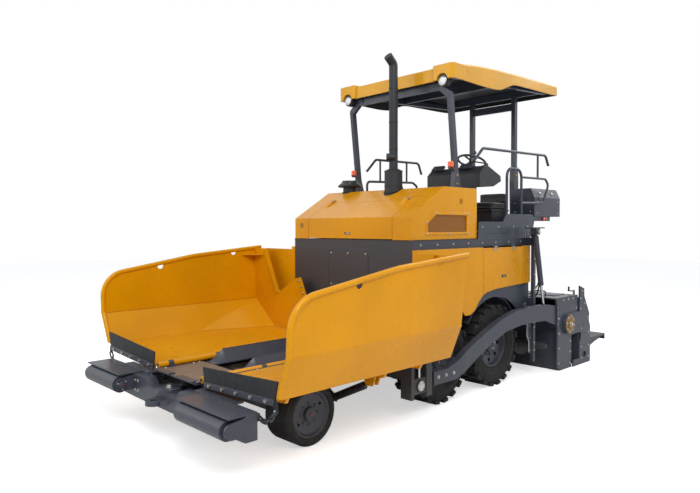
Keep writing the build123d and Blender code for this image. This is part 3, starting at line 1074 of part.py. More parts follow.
# side of the roof as X and the drop below its top: the crown from the front, the waved lower edge from the rear
CROWN_DROP = ((CANOPY_FRONT, 133), (-230, 93), (-620, 52), (-1190, 26), (-1930, 8), (CANOPY_REAR, 0))
WAVE_DROP = (
    (CANOPY_REAR, 133), (-1930, 151), (-1450, 160), (-1240, 178), (-1110, 222),
    (-990, 268), (-850, 290), (-620, 296), (-300, 290), (CANOPY_FRONT, 286),
)
ROOF_CROWN = [(x, CANOPY_TOP - drop) for x, drop in CROWN_DROP]
ROOF_WAVE = [(x, CANOPY_TOP - drop) for x, drop in WAVE_DROP]
POD_Y = 640.0                       # inner side of a lamp pod
POD_TOP = CANOPY_TOP - 116.0
POD_NOSE = 46.0
LAMP_Y = 776.0
LAMP_Z = CANOPY_TOP - 298.0
LAMP_CUP_R = 72.0
POST_LEAN = 0.114                   # of the front posts, along the machine
POST_FOOT_X = -207.0
CANOPY_POST_Y = 800.0
POST_HEAD_Z = CANOPY_TOP - 435.0
BROW_X = -78.0                      # beam between the front posts
BROW_Z = (CANOPY_TOP - 370.0, CANOPY_TOP - 278.0)
REAR_POST = (-2230.0, 360.0)
RAIL_FRONT_Z = CANOPY_TOP - 220.0   # side rails under the roof
RAIL_REAR_Z = CANOPY_TOP - 90.0


def post_x(z):
    """Place of a front post's middle at a height."""
    return POST_FOOT_X + POST_LEAN * (z - HOOD_TOP)


def bar_between(start, end, wide, deep):
    """A square-edged bar whose width lies across the machine."""
    reach = Vector(*end) - Vector(*start)
    with BuildSketch(Plane(origin=start, x_dir=(0, 1, 0), z_dir=reach)) as end_face:
        Rectangle(wide, deep)
    extrude(end_face.sketch, amount=reach.length)


def roof_hollow(gap):
    """Side view of the space under the roof's skin, less a gap."""
    with BuildSketch(Plane.XZ) as hollow:
        with BuildLine():
            Spline(*[(x, z - ROOF_T - gap) for x, z in ROOF_CROWN])
            front, rear = ROOF_CROWN[0], ROOF_CROWN[-1]
            Polyline(
                (rear[0], rear[1] - ROOF_T - gap), (rear[0], BROW_Z[0]), (front[0], BROW_Z[0]),
                (front[0], front[1] - ROOF_T - gap),
            )
        make_face()
        with Locations(((front[0] + rear[0]) / 2, front[1])):
            Rectangle(front[0] - rear[0] - 2 * (ROOF_T + gap), 1000, mode=Mode.INTERSECT)
    return hollow.sketch


with BuildPart() as canopy_roof:
    with BuildSketch(side_plane(CANOPY_Y)):
        with BuildLine():
            Spline(*ROOF_CROWN)
            Line(ROOF_CROWN[-1], ROOF_WAVE[0])
            Spline(*ROOF_WAVE)
            Line(ROOF_WAVE[-1], ROOF_CROWN[0])
        make_face()
    extrude(amount=2 * CANOPY_Y)
    fillet(canopy_roof.edges().filter_by(Axis.Z), 30)
    fillet(canopy_roof.faces().sort_by(Axis.Z)[-1].edges(), 26)
    for side in (-1, 1):
        # lamp pod with chamfered corners, as (X, Y)
        with BuildSketch(Plane.XY.offset(ROOF_WAVE[-1][1])):
            with BuildLine():
                Polyline(
                    (-180, side * POD_Y), (POD_NOSE - 14, side * POD_Y), (POD_NOSE, side * (POD_Y + 14)),
                    (POD_NOSE, side * (CANOPY_Y - 40)), (POD_NOSE - 26, side * (CANOPY_Y + 4)),
                    (-180, side * (CANOPY_Y + 4)), close=True,
                )
            make_face()
        extrude(amount=POD_TOP - ROOF_WAVE[-1][1])
    # open below, with an arch over each lamp
    extrude(roof_hollow(0), amount=CANOPY_Y - ROOF_T, both=True, mode=Mode.SUBTRACT)
    for side in (-1, 1):
        rod_between(
            (-60, side * LAMP_Y, LAMP_Z), (POD_NOSE + 1, side * LAMP_Y, LAMP_Z), LAMP_CUP_R + 8, mode=Mode.SUBTRACT,
        )
pieces["canopy_roof"] = canopy_roof

with BuildPart() as canopy_frame:
    # cross bars against the roof
    for x in (BROW_X, (BROW_X + REAR_POST[0]) / 2, REAR_POST[0]):
        rail_z = RAIL_FRONT_Z + (RAIL_REAR_Z - RAIL_FRONT_Z) * (BROW_X - x) / (BROW_X - REAR_POST[0])
        block((x - 20, x + 20), (-CANOPY_POST_Y, CANOPY_POST_Y), (rail_z - 20, CANOPY_TOP))
    extrude(roof_hollow(SEAT_GAP), amount=CANOPY_POST_Y, both=True, mode=Mode.INTERSECT)
    # beam between the front posts, held up to the first cross bar
    block((BROW_X - 20, BROW_X + 20), (-POD_Y, POD_Y), BROW_Z)
    block((REAR_POST[0] - 20, REAR_POST[0] + 20), (-REAR_POST[1], REAR_POST[1]), (CANOPY_TOP - 285, CANOPY_TOP - 185))
    for side in (-1, 1):
        post = side * CANOPY_POST_Y
        bar_between((post_x(HOOD_TOP + 12), post, HOOD_TOP + 12), (post_x(POST_HEAD_Z), post, POST_HEAD_Z), 50, 70)
        # knee from the post's head into the beam, as (Y, Z)
        plate(
            cross_plane(BROW_X),
            (
                (side * (CANOPY_POST_Y + 25), POST_HEAD_Z - 40), (side * (CANOPY_POST_Y + 25), POST_HEAD_Z + 20),
                (side * (POD_Y + 30), BROW_Z[1]), (side * (POD_Y - 50), BROW_Z[1]), (side * (POD_Y - 50), BROW_Z[0]),
                (side * (POD_Y + 10), BROW_Z[0]), (side * (CANOPY_POST_Y - 25), POST_HEAD_Z - 40),
            ),
            50,
        )
        block((BROW_X - 20, BROW_X + 20), (side * (POD_Y - 90), side * (POD_Y - 20)), (BROW_Z[1] - 1, RAIL_FRONT_Z))
        # bolted gusset at the foot
        plate(
            side_plane(post),
            (
                (POST_FOOT_X - 65, HOOD_TOP), (POST_FOOT_X + 75, HOOD_TOP), (POST_FOOT_X + 60, HOOD_TOP + 190),
                (POST_FOOT_X - 5, HOOD_TOP + 190),
            ),
            64,
        )
        # rear post with its wide lower bracket
        rear_x, rear_y = REAR_POST[0], side * REAR_POST[1]
        bar_between((rear_x, rear_y, BOX_BEAM_Z[1]), (rear_x, rear_y, RAIL_REAR_Z), 60, 70)
        plate(
            side_plane(rear_y),
            (
                (rear_x - 50, BOX_BEAM_Z[1]), (rear_x + 50, BOX_BEAM_Z[1]), (rear_x + 60, 2560),
                (rear_x + 48, 2780), (rear_x - 48, 2780), (rear_x - 60, 2560),
            ),
            76,
        )
        # side rail under the roof
        bar_between((BROW_X + 20, post, RAIL_FRONT_Z), (REAR_POST[0] - 60, post, RAIL_REAR_Z), 50, 60)
pieces["canopy_frame"] = canopy_frame

with BuildPart() as lamps:
    for side in (-1, 1):
        # headlamp: its cup and lens in the arch of the pod, on a strap to the beam
        block((BROW_X + 25, BROW_X + 33), (side * (POD_Y - 60), side * (LAMP_Y + 20)), (LAMP_Z - 37, LAMP_Z + 8))
        rod_between((BROW_X + 32, side * LAMP_Y, LAMP_Z), (16, side * LAMP_Y, LAMP_Z), LAMP_CUP_R)
        rod_between((15, side * LAMP_Y, LAMP_Z), (30, side * LAMP_Y, LAMP_Z - 2), 52)
        # warning lamp on its bracket in front of the post
        block((-144.5, -76), (side * 780, side * 820), (2590, 2606))
        rod_between((-98, side * 800, 2604), (-98, side * 800, 2672), 34)
        # tail lamp under the rear box
        block((-2175, -2075), (side * 890, side * 905), (2000, 2045))
pieces["lamps"] = lamps

# ---- screed ------------------------------------------------------------------------------
ARM_IN = ARM_Y - ARM_T / 2
ARM_OUT = ARM_Y + ARM_T / 2
ARM_REAR = -1830.0
TONGUE_Y = (1120.0, 1170.0)
POCKET_X = 60.0                     # half-length of the pocket for the cylinder's eye
with BuildPart() as tow_arms:
    for side in (-1, 1):
        with BuildSketch(side_plane(side * ARM_Y)):
            with BuildLine():
                # upper edge from the front, then lower edge back
                Polyline(
                    (762, 296), (762, 435), (525, 435), (343, 487), (108, 604), (-193, 722), (-511, 831),
                    (-851, 903), (-1215, 921), (-1605, 909), (ARM_REAR, 873),
                )
                Polyline(
                    (ARM_REAR, 873), (ARM_REAR, 615), (-1558, 707), (-1280, 715), (-969, 719), (-624, 682),
                    (-298, 577), (-16, 458), (225, 343), (365, 296), (762, 296),
                )
            make_face()
        extrude(amount=ARM_T / 2, both=True)
        # tongue to the tow pin
        with BuildSketch(side_plane(side * (TONGUE_Y[0] + TONGUE_Y[1]) / 2)):
            with BuildLine():
                Polyline((430, 300), (430, 430), (760, 430), (TOW_PIN[0], TOW_PIN[1] + 58), (TOW_PIN[0], TOW_PIN[1] - 58), (760, 300), close=True)
            make_face()
            with Locations(TOW_PIN):
                Circle(60)
                Circle(TOW_PIN_R + RUN_GAP, mode=Mode.SUBTRACT)
        extrude(amount=(TONGUE_Y[1] - TONGUE_Y[0]) / 2, both=True)
        # pocket for the eye of the lift cylinder
        block(
            (LIFT_EYE[0] - POCKET_X, LIFT_EYE[0] + POCKET_X),
            (side * (ARM_Y - EYE_T / 2 - SIDE_GAP), side * (ARM_Y + EYE_T / 2 + SIDE_GAP)),
            (LIFT_EYE[1] - 35 - SIDE_GAP - SLIDE_TRAVEL, 960),
            mode=Mode.SUBTRACT,
        )
pieces["tow_arms"] = tow_arms

TELE_X = -2110.0                    # axis of the sliding tubes
TELE_Z = 605.0
TELE_R = 80.0
END_T = 20.0                        # thickness of the extension's end plate
SIDE_T = 25.0
SLIDE_IN = 40.0                     # inboard end of an extension
SOCKET = (-2600.0, 130.0)           # bolt-on widening's socket, as (X, Z)
SOCKET_R = 42.0
with BuildPart() as screed:
    for side in (-1, 1):
        # side plate, as (X, Z)
        plate(
            side_plane(side * (SCREED_Y - SIDE_T / 2)),
            (
                (-1911, 0), (-1840, 60), (-1840, 594), (-1831, 871), (-1789, 975), (SCREED_REAR, 975),
                (SCREED_REAR, 447), (-2241, 438), (-2241, 0),
            ),
            SIDE_T,
        )
        # flange that takes the tow arm
        block((ARM_REAR - 20, ARM_REAR), (side * (ARM_IN - 50), side * SCREED_Y), (590, 880))
        block((-1900, ARM_REAR - 20), (side * (ARM_IN - 50), side * (SCREED_Y - SIDE_T)), (590, 610))
        # inner ribs under the top cover
        for y in (60.0, 640.0):
            plate(side_plane(side * y), ((-1926, 700), (-1926, 955), (-2400, 955), (-2400, 700)), 16)
    # sole plate, mouldboard, box of the sliding tubes, top cover and rear wall
    block((-2241, -1905), (-SCREED_Y + SIDE_T, SCREED_Y - SIDE_T), (0, 25))
    block((-1925, -1905), (-SCREED_Y + SIDE_T, SCREED_Y - SIDE_T), (20, 720))
    block((-2260, -1925), (-SCREED_Y + SIDE_T, SCREED_Y - SIDE_T), (460, 750))
    for side in (-1, 1):
        for low, high in ((60, 610), (670, SCREED_Y - SIDE_T - 20)):
            block((-2245, -1940), (side * low, side * high), (475, 735), mode=Mode.SUBTRACT)
    block((-2241, -1925), (-SCREED_Y + SIDE_T, SCREED_Y - SIDE_T), (25, 60))
    block((SCREED_REAR, -1789), (-SCREED_Y + SIDE_T, SCREED_Y - SIDE_T), (955, 975))
    block((SCREED_REAR, SCREED_REAR + 15), (-SCREED_Y + SIDE_T, SCREED_Y - SIDE_T), (447, 955))
    # bores of the sliding tubes, open at both sides
    for side in (-1, 1):
        rod_between((TELE_X, side * SLIDE_IN, TELE_Z), (TELE_X, side * (SCREED_Y + 1), TELE_Z), TELE_R + RUN_GAP, mode=Mode.SUBTRACT)
pieces["screed"] = screed

with BuildPart() as extension:
    # end plate that links the tube's flange with the rear box, as (X, Z)
    end_y = SCREED_Y + SEAT_GAP + END_T / 2
    with BuildSketch(side_plane(end_y)):
        with BuildLine():
            Polyline(
                (-2110, 744), (-2440, 744), (-2440, 1097), (-2580, 1050), (-2584, 947), (-2748, 692), (-2734, 594),
                (-2777, 504), (-2777, 0), (-2262, 0), (-2262, 90), (-2444, 90), (-2444, 290), (-2487, 377), (-2487, 447), (-2110, 480), close=True,
            )
        make_face()
        with Locations((TELE_X, TELE_Z)):
            Circle(138)
    extrude(amount=END_T / 2, both=True)
    # tube and its flange
    rod_between((TELE_X, SLIDE_IN + 6, TELE_Z), (TELE_X, end_y, TELE_Z), TELE_R)
    rod_between((TELE_X, end_y, TELE_Z), (TELE_X, end_y + 34, TELE_Z), 132)
    # rear box with its sloping back, mouldboard and sole
    with BuildSketch(side_plane(SLIDE_IN)):
        with BuildLine():
            Polyline(
                (-2446, 30), (-2446, 930), (-2560, 930), (-2720, 692), (-2720, 560), (-2760, 504), (-2760, 30), close=True,
            )
        make_face()
    extrude(amount=-(end_y - END_T / 2 - SLIDE_IN))
    block((-2700, -2460), (SLIDE_IN + 15, end_y - END_T / 2), (60, 680), mode=Mode.SUBTRACT)
    # ringed socket through the end plate
    socket_in = (SOCKET[0], end_y - END_T / 2 - 6, SOCKET[1])
    socket_out = (SOCKET[0], end_y + END_T / 2 + 4, SOCKET[1])
    rod_between(socket_in, socket_out, SOCKET_R + 18)
    rod_between(socket_in, socket_out, SOCKET_R, mode=Mode.SUBTRACT)
    block((EXT_REAR, -2430), (SLIDE_IN, end_y - 1), (0, 40))
    # step behind the box on two brackets
    block((STEP_REAR, -2755), (SLIDE_IN + 20, end_y - END_T / 2), (300, 330))
    block((STEP_REAR, STEP_REAR + 12), (SLIDE_IN + 20, end_y - END_T / 2), (245, 300))
    for y in (SLIDE_IN + 80, end_y - 60):
        plate(side_plane(y), ((-2755, 302), (-3290, 302), (-3290, 270), (-3080, 235), (-2900, 190), (-2755, 100)), 12)
both_sides("extension", extension)

AUGER_TUBE_R = 45.0
STUB_R = 30.0                       # shaft that takes an auger's extension
STUB_LEN = 35.0
FLIGHT_PITCH = 320.0
FLIGHT_T = 12.0
FLIGHT_STEPS = 12                   # sections in each turn
FLIGHT_START = 90.0
with BuildPart() as auger:
    rod_between((AUGER_X, AUGER_IN, AUGER_Z), (AUGER_X, AUGER_END, AUGER_Z), AUGER_TUBE_R)
    rod_between((AUGER_X, AUGER_END - 1, AUGER_Z), (AUGER_X, AUGER_END + STUB_LEN, AUGER_Z), STUB_R)
    sections = int((AUGER_END - FLIGHT_START - 60) / FLIGHT_PITCH * FLIGHT_STEPS)
    for k in range(sections + 1):
        turn = 360 / FLIGHT_STEPS * k
        y = FLIGHT_START + FLIGHT_PITCH / FLIGHT_STEPS * k
        radial = Vector(1, 0, 0).rotate(Axis.Y, turn)
        with BuildSketch(Plane(origin=(AUGER_X, y, AUGER_Z), x_dir=radial, z_dir=radial.cross(Vector(0, 1, 0)))):
            with Locations(((AUGER_TUBE_R + AUGER_R) / 2 - 5, 0)):
                Rectangle(AUGER_R - AUGER_TUBE_R + 10, FLIGHT_T)
    loft(ruled=True)
    rod_between((AUGER_X, AUGER_IN - 1, AUGER_Z), (AUGER_X, AUGER_IN + AUGER_BORE + 10, AUGER_Z), 20 + RUN_GAP, mode=Mode.SUBTRACT)
both_sides("auger", auger)

LIFT_R = 34.0
LIFT_BARREL = 700.0
lift_barrel = cylinder_barrel(LIFT_TOP, LIFT_EYE, ARM_Y, "Y", LIFT_R, LIFT_BARREL, 34, EYE_T)
lift_rod = cylinder_rod(LIFT_TOP, LIFT_EYE, ARM_Y, "Y", LIFT_R, 255, 28, EYE_T)
both_sides("lift_barrel", lift_barrel)
both_sides("lift_rod", lift_rod)

os.makedirs("parts", exist_ok=True)
for label, piece in pieces.items():
    piece.part.label = label
    export_step(piece.part, f"parts/{label}.step")
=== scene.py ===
"""Looks of the wheeled asphalt paver: finishes, small fittings, seat, hoses, floor, light and camera."""
from itertools import product
from math import cos, pi, radians, sin

import bmesh
import bpy
from mathutils import Matrix, Vector
from mathutils.bvhtree import BVHTree


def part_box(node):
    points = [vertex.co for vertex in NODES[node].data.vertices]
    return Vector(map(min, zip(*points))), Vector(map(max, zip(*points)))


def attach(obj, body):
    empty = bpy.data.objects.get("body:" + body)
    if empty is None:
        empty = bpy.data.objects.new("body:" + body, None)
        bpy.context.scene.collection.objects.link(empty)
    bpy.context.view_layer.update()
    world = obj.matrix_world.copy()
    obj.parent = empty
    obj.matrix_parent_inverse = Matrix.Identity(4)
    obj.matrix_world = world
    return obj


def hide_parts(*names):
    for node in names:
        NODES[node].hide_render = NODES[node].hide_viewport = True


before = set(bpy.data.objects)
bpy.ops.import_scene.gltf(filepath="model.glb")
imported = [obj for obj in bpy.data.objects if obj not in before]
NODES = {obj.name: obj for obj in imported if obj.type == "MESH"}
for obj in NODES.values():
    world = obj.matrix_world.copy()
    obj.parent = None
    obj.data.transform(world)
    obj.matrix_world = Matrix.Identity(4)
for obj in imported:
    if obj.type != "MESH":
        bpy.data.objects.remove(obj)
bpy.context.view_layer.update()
SIDES = (("left", 1), ("right", -1))
UP = (0, 0, 1)
AHEAD = (1, 0, 0)

# Places and sizes shared with the frame, in metres. A name in _Y or _FACE is a distance from the
# middle, to a face or a hair inside it, so that no bolt floats.
REAR_WHEELS = (("mid_wheel", 0.400), ("rear_wheel", -0.660))
REAR_AXLE_Z = 0.490
REAR_WHEEL_Y = 0.900
FRONT_AXLE = Vector((2.235, 0.875, 0.280))
HOOD_Y = 0.946
VENT_X, VENT_Z, VENT_R = -0.097, 2.209, 0.034
SLAT = 0.0072
PANEL_Y = 1.030
BODY_Y = 0.970
POST_FACE = 1.1098
SHIELD_FACE = 1.0808
ARM_FACE = 1.2298
SCREED_FACE = 1.2498
SCREED_TOP = 0.9745
FLANGE_FACE = 1.2943
END_FACE = 1.2703
RAIL_Y = 0.9427
HUB = Vector((-0.955, 0.500, 2.765))
COLUMN = Vector((-0.36, 0.0, 0.933)).normalized()


# ---- shader helpers -----------------------------------------------------------------------
def linear(red, green, blue):
    """A display colour, 0 to 255, as linear light."""
    def one(v):
        v /= 255
        return v / 12.92 if v <= 0.04045 else ((v + 0.055) / 1.055) ** 2.4
    return (one(red), one(green), one(blue), 1.0)


def darker(colour, share):
    return tuple(c * share for c in colour[:3]) + (1.0,)


class Nodes:
    """A node tree under construction: add() makes a node, and a socket given as a value is linked."""

    def __init__(self, tree):
        self.tree = tree

    def add(self, kind, inputs=None, **settings):
        node = self.tree.nodes.new(kind)
        for key, value in settings.items():
            setattr(node, key, value)
        for key, value in (inputs or {}).items():
            self.put(node, key, value)
        return node

    def put(self, node, key, value):
        if isinstance(value, bpy.types.NodeSocket):
            self.tree.links.new(value, node.inputs[key])
        else:
            node.inputs[key].default_value = value

    def math(self, operation, first, second=0.0):
        return self.add("ShaderNodeMath", {0: first, 1: second}, operation=operation).outputs[0]


class Shader(Nodes):
    """A material on the object's own coordinates."""

    def __init__(self, name):
        self.material = bpy.data.materials.new(name)
        self.material.use_nodes = True
        super().__init__(self.material.node_tree)
        self.surface = self.tree.nodes["Principled BSDF"]
        self.coords = self.add("ShaderNodeTexCoord").outputs["Object"]

    def set(self, **values):
        """Sockets of the surface by name, with spaces as underscores."""
        for key, value in values.items():
            self.put(self.surface, key.replace("_", " "), value)

    def noise(self, scale, detail=3.0, rough=0.5, stretch=None):
        where = self.coords
        if stretch:
            where = self.add("ShaderNodeMapping", {"Vector": where, "Scale": stretch}).outputs[0]
        made = self.add(
            "ShaderNodeTexNoise", {"Vector": where, "Scale": scale, "Detail": detail, "Roughness": rough}
        )
        return made.outputs["Fac"]

    def ramp(self, value, low, high, to_low=0.0, to_high=1.0):
        inputs = {"Value": value, "From Min": low, "From Max": high, "To Min": to_low, "To Max": to_high}
        return self.add("ShaderNodeMapRange", inputs).outputs[0]

    def mix(self, factor, first, second):
        """Two colours mixed; 0, 6 and 7 are the factor and the colours among the node's sockets."""
        made = self.add("ShaderNodeMix", data_type="RGBA")
        for socket, value in ((0, factor), (6, first), (7, second)):
            self.put(made, socket, value)
        return made.outputs[2]

    def facing_up(self):
        normal = self.add("ShaderNodeNewGeometry").outputs["Normal"]
        return self.add("ShaderNodeSeparateXYZ", {0: normal}).outputs["Z"]

    def height(self):
        return self.add("ShaderNodeSeparateXYZ", {0: self.coords}).outputs["Z"]

    def edges(self, radius):
        """The rounded normal, and a mask that is 1 where an edge or a corner lies under it."""
        soft = self.add("ShaderNodeBevel", {"Radius": radius}, samples=4).outputs[0]
        flat = self.add("ShaderNodeNewGeometry").outputs["Normal"]
        same = self.add(
            "ShaderNodeVectorMath", {0: soft, 1: flat}, operation="DOT_PRODUCT"
        ).outputs["Value"]
        return soft, self.ramp(same, 0.995, 0.90)

    def bump(self, height, strength, distance, normal=None):
        inputs = {"Height": height, "Strength": strength, "Distance": distance}
        if normal is not None:
            inputs["Normal"] = normal
        return self.add("ShaderNodeBump", inputs).outputs[0]


DUST = linear(176, 164, 146)
WHITE = (1.0, 1.0, 1.0, 1.0)


def paint(name, colour, rough, coat, worn, edge_wear_and_highlight=0.25, dust=0.25, peel=0.05, radius=0.004, tint=WHITE):
    """Sprayed paint: slight cloudiness, orange peel, dust on what faces up and low down, worn edges that
    also carry a painted edge highlight.
    """
    s = Shader(name)
    soft, edge = s.edges(radius)
    cloud = s.noise(1.3, 4.0)
    dark = darker(colour, 0.86)
    tone = s.mix(s.ramp(cloud, 0.35, 0.68), dark, colour)
    streaks = s.ramp(s.noise(7.0, 5.0, 0.6, (1.0, 1.0, 0.25)), 0.55, 0.8)
    low = s.ramp(s.height(), 1.1, 0.1, 0.05, 1.0)
    up = s.ramp(s.facing_up(), 0.6, 1.0, 0.0, 0.6)
    layer = s.math("MAXIMUM", low, up)
    dusty = s.math("MULTIPLY", s.math("MULTIPLY", s.math("ADD", streaks, 0.35), layer), dust)
    tone = s.mix(s.math("MINIMUM", dusty, 0.6), tone, DUST)
    # edge mark: worn paint at the edges, and also a painted highlight, lighter on the dark paints
    edge_chips_and_highlight = s.math("MULTIPLY", edge, s.ramp(s.noise(55.0, 5.0), 0.50, 0.62))
    tone = s.mix(s.math("MULTIPLY", edge_chips_and_highlight, edge_wear_and_highlight), tone, worn)
    fine = s.noise(420.0, 2.0)
    patchy = s.noise(9.0, 4.0)
    s.set(
        Base_Color=tone, Coat_Weight=coat, Coat_Roughness=0.12, Specular_Tint=tint, Specular_IOR_Level=0.4,
        Roughness=s.math(
            "ADD", s.ramp(patchy, 0.3, 0.7, rough - 0.05, rough + 0.07), s.math("MULTIPLY", dusty, 0.5)
        ),
        Normal=s.bump(fine, peel, 0.001, soft),
    )
    return s.material


def rubber(name, colour, dust_and_highlight_colour, rough=0.72, grain=90.0, dust=0.5):
    s = Shader(name)
    soft, edge = s.edges(0.005)
    spots = s.ramp(s.noise(6.0, 6.0, 0.65), 0.42, 0.75)
    low = s.ramp(s.height(), 1.1, 0.0, 0.35, 1.0)
    amount = s.math("MULTIPLY", s.math("MULTIPLY", spots, low), dust)
    # every edge mixed toward the pale colour: a painted highlight along the edges
    edge_highlight = s.math("MULTIPLY", edge, 0.35)
    tone = s.mix(s.math("MAXIMUM", amount, edge_highlight), colour, dust_and_highlight_colour)
    s.set(
        Base_Color=tone, Specular_IOR_Level=0.35,
        Roughness=s.ramp(s.noise(18.0), 0.3, 0.7, rough - 0.08, rough + 0.1),
        Normal=s.bump(s.noise(grain * 5, 4.0), 0.25, 0.0015, soft),
    )
    return s.material


def steel(name, colour, rough, stretch=None, stain=None, amount=0.0, grain=140.0):
    """Bare metal with brushed or rolled streaks, and stains where stain is given."""
    s = Shader(name)
    soft, edge = s.edges(0.002)
    streak = s.noise(grain, 4.0, 0.6, stretch)
    tone = s.mix(s.ramp(streak, 0.35, 0.7), darker(colour, 0.75), colour)
    metal = 1.0
    if stain:
        spots = s.noise(8.0, 6.0, 0.65)
        tone = s.mix(s.math("MULTIPLY", s.ramp(spots, 0.42, 0.62), amount), tone, stain)
        metal = s.ramp(spots, 0.42, 0.62, 1.0, 1.0 - amount * 0.8)
    s.set(
        Base_Color=tone, Metallic=metal,
        Roughness=s.ramp(streak, 0.3, 0.7, rough - 0.06, rough + 0.1),
        Normal=s.bump(streak, 0.12, 0.0006, soft),
    )
    return s.material


def plastic(name, colour, rough, grain=600.0, coat=0.0, strength=0.18):
    s = Shader(name)
    soft, _ = s.edges(0.003)
    cloud = s.ramp(s.noise(14.0, 4.0), 0.3, 0.7)
    tone = s.mix(cloud, darker(colour, 0.82), colour)
    s.set(
        Base_Color=tone, Coat_Weight=coat, Coat_Roughness=0.08,
        Roughness=s.ramp(s.noise(30.0), 0.3, 0.7, rough - 0.05, rough + 0.08),
        Normal=s.bump(s.noise(grain, 2.0), strength, 0.0008, soft),
    )
    return s.material


def treaded(name, colour, pitch=0.045):
    """Anti-slip plate: paint with rows of small raised bars, each second one turned."""
    s = Shader(name)
    soft, edge = s.edges(0.003)
    turned = s.add(
        "ShaderNodeMapping", {"Vector": s.coords, "Rotation": (0.0, 0.0, radians(45))}
    ).outputs[0]
    heights = []
    for stretch, shift in (((1.0, 3.2, 1.0), 0.0), ((3.2, 1.0, 1.0), 0.5)):
        scale = tuple(v / pitch / 2 for v in stretch)
        inputs = {"Vector": turned, "Scale": scale, "Location": (shift, shift, 0.0)}
        inputs = {"Vector": s.add("ShaderNodeMapping", inputs).outputs[0], "Scale": 1.0, "Randomness": 0.0}
        cells = s.add("ShaderNodeTexVoronoi", inputs, voronoi_dimensions="2D")
        heights.append(s.ramp(cells.outputs["Distance"], 0.30, 0.22))
    bars = s.math("MAXIMUM", heights[0], heights[1])
    scuffed = s.ramp(s.noise(11.0, 5.0), 0.45, 0.7)
    tone = s.mix(
        s.math("MULTIPLY", bars, s.ramp(scuffed, 0.0, 1.0, 0.15, 0.55)), colour, linear(122, 118, 112)
    )
    tone = s.mix(s.math("MULTIPLY", scuffed, 0.4), tone, linear(112, 102, 92))
    s.set(Base_Color=tone, Roughness=0.55, Metallic=0.1, Normal=s.bump(bars, 0.9, 0.003, soft))
    return s.material


def woven(name, wire, painted_shade_gap, pitch):
    """Wire mesh with painted shade between the wires for the hollow behind it: two crossing wave bands, on
    the X and Z axes.
    """
    s = Shader(name)
    axes = s.add("ShaderNodeSeparateXYZ", {0: s.coords})
    lines = []
    for axis in ("X", "Z"):
        phase = s.math("FRACT", s.math("DIVIDE", axes.outputs[axis], pitch))
        lines.append(s.ramp(s.math("ABSOLUTE", s.math("SUBTRACT", phase, 0.5)), 0.30, 0.20))
    wires = s.math("MAXIMUM", lines[0], lines[1])
    over = s.ramp(s.noise(60.0), 0.3, 0.7, 0.8, 1.0)
    # the colour between the wires is painted shade, standing for the hollow behind the mesh
    tone = s.mix(s.math("MULTIPLY", wires, over), painted_shade_gap, wire)
    s.set(
        Base_Color=tone, Roughness=0.5, Metallic=s.math("MULTIPLY", wires, 0.2),
        Normal=s.bump(wires, 0.8, 0.002),
    )
    return s.material


def glass_like(name, colour, rough=0.08, glow=0.0):
    s = Shader(name)
    ribs = s.add(
        "ShaderNodeTexWave", {"Vector": s.coords, "Scale": 60.0}, bands_direction="Y"
    ).outputs["Fac"]
    tone = s.mix(s.ramp(ribs, 0.2, 0.8), darker(colour, 0.8), colour)
    s.set(
        Base_Color=tone, Roughness=rough, Coat_Weight=0.8, Coat_Roughness=0.03,
        Emission_Color=colour, Emission_Strength=glow, Normal=s.bump(ribs, 0.3, 0.001),
    )
    return s.material


def vinyl(name, colour):
    """Seat cover: leather-like grain from cells, with dull crease folds whose low parts are darkened as
    painted shade.
    """
    s = Shader(name)
    cells = s.add(
        "ShaderNodeTexVoronoi", {"Vector": s.coords, "Scale": 420.0}, feature="DISTANCE_TO_EDGE"
    ).outputs["Distance"]
    creases_and_shade = s.noise(26.0, 5.0, 0.6)
    # colour darker where the crease bump is low: painted shade in the crease hollows
    tone = s.mix(s.ramp(creases_and_shade, 0.35, 0.7), darker(colour, 0.7), colour)
    height = s.math("ADD", s.ramp(cells, 0.0, 0.12), s.math("MULTIPLY", creases_and_shade, 0.8))
    s.set(
        Base_Color=tone, Roughness=s.ramp(creases_and_shade, 0.3, 0.7, 0.45, 0.62),
        Sheen_Weight=0.15, Normal=s.bump(height, 0.35, 0.0012),
    )
    return s.material


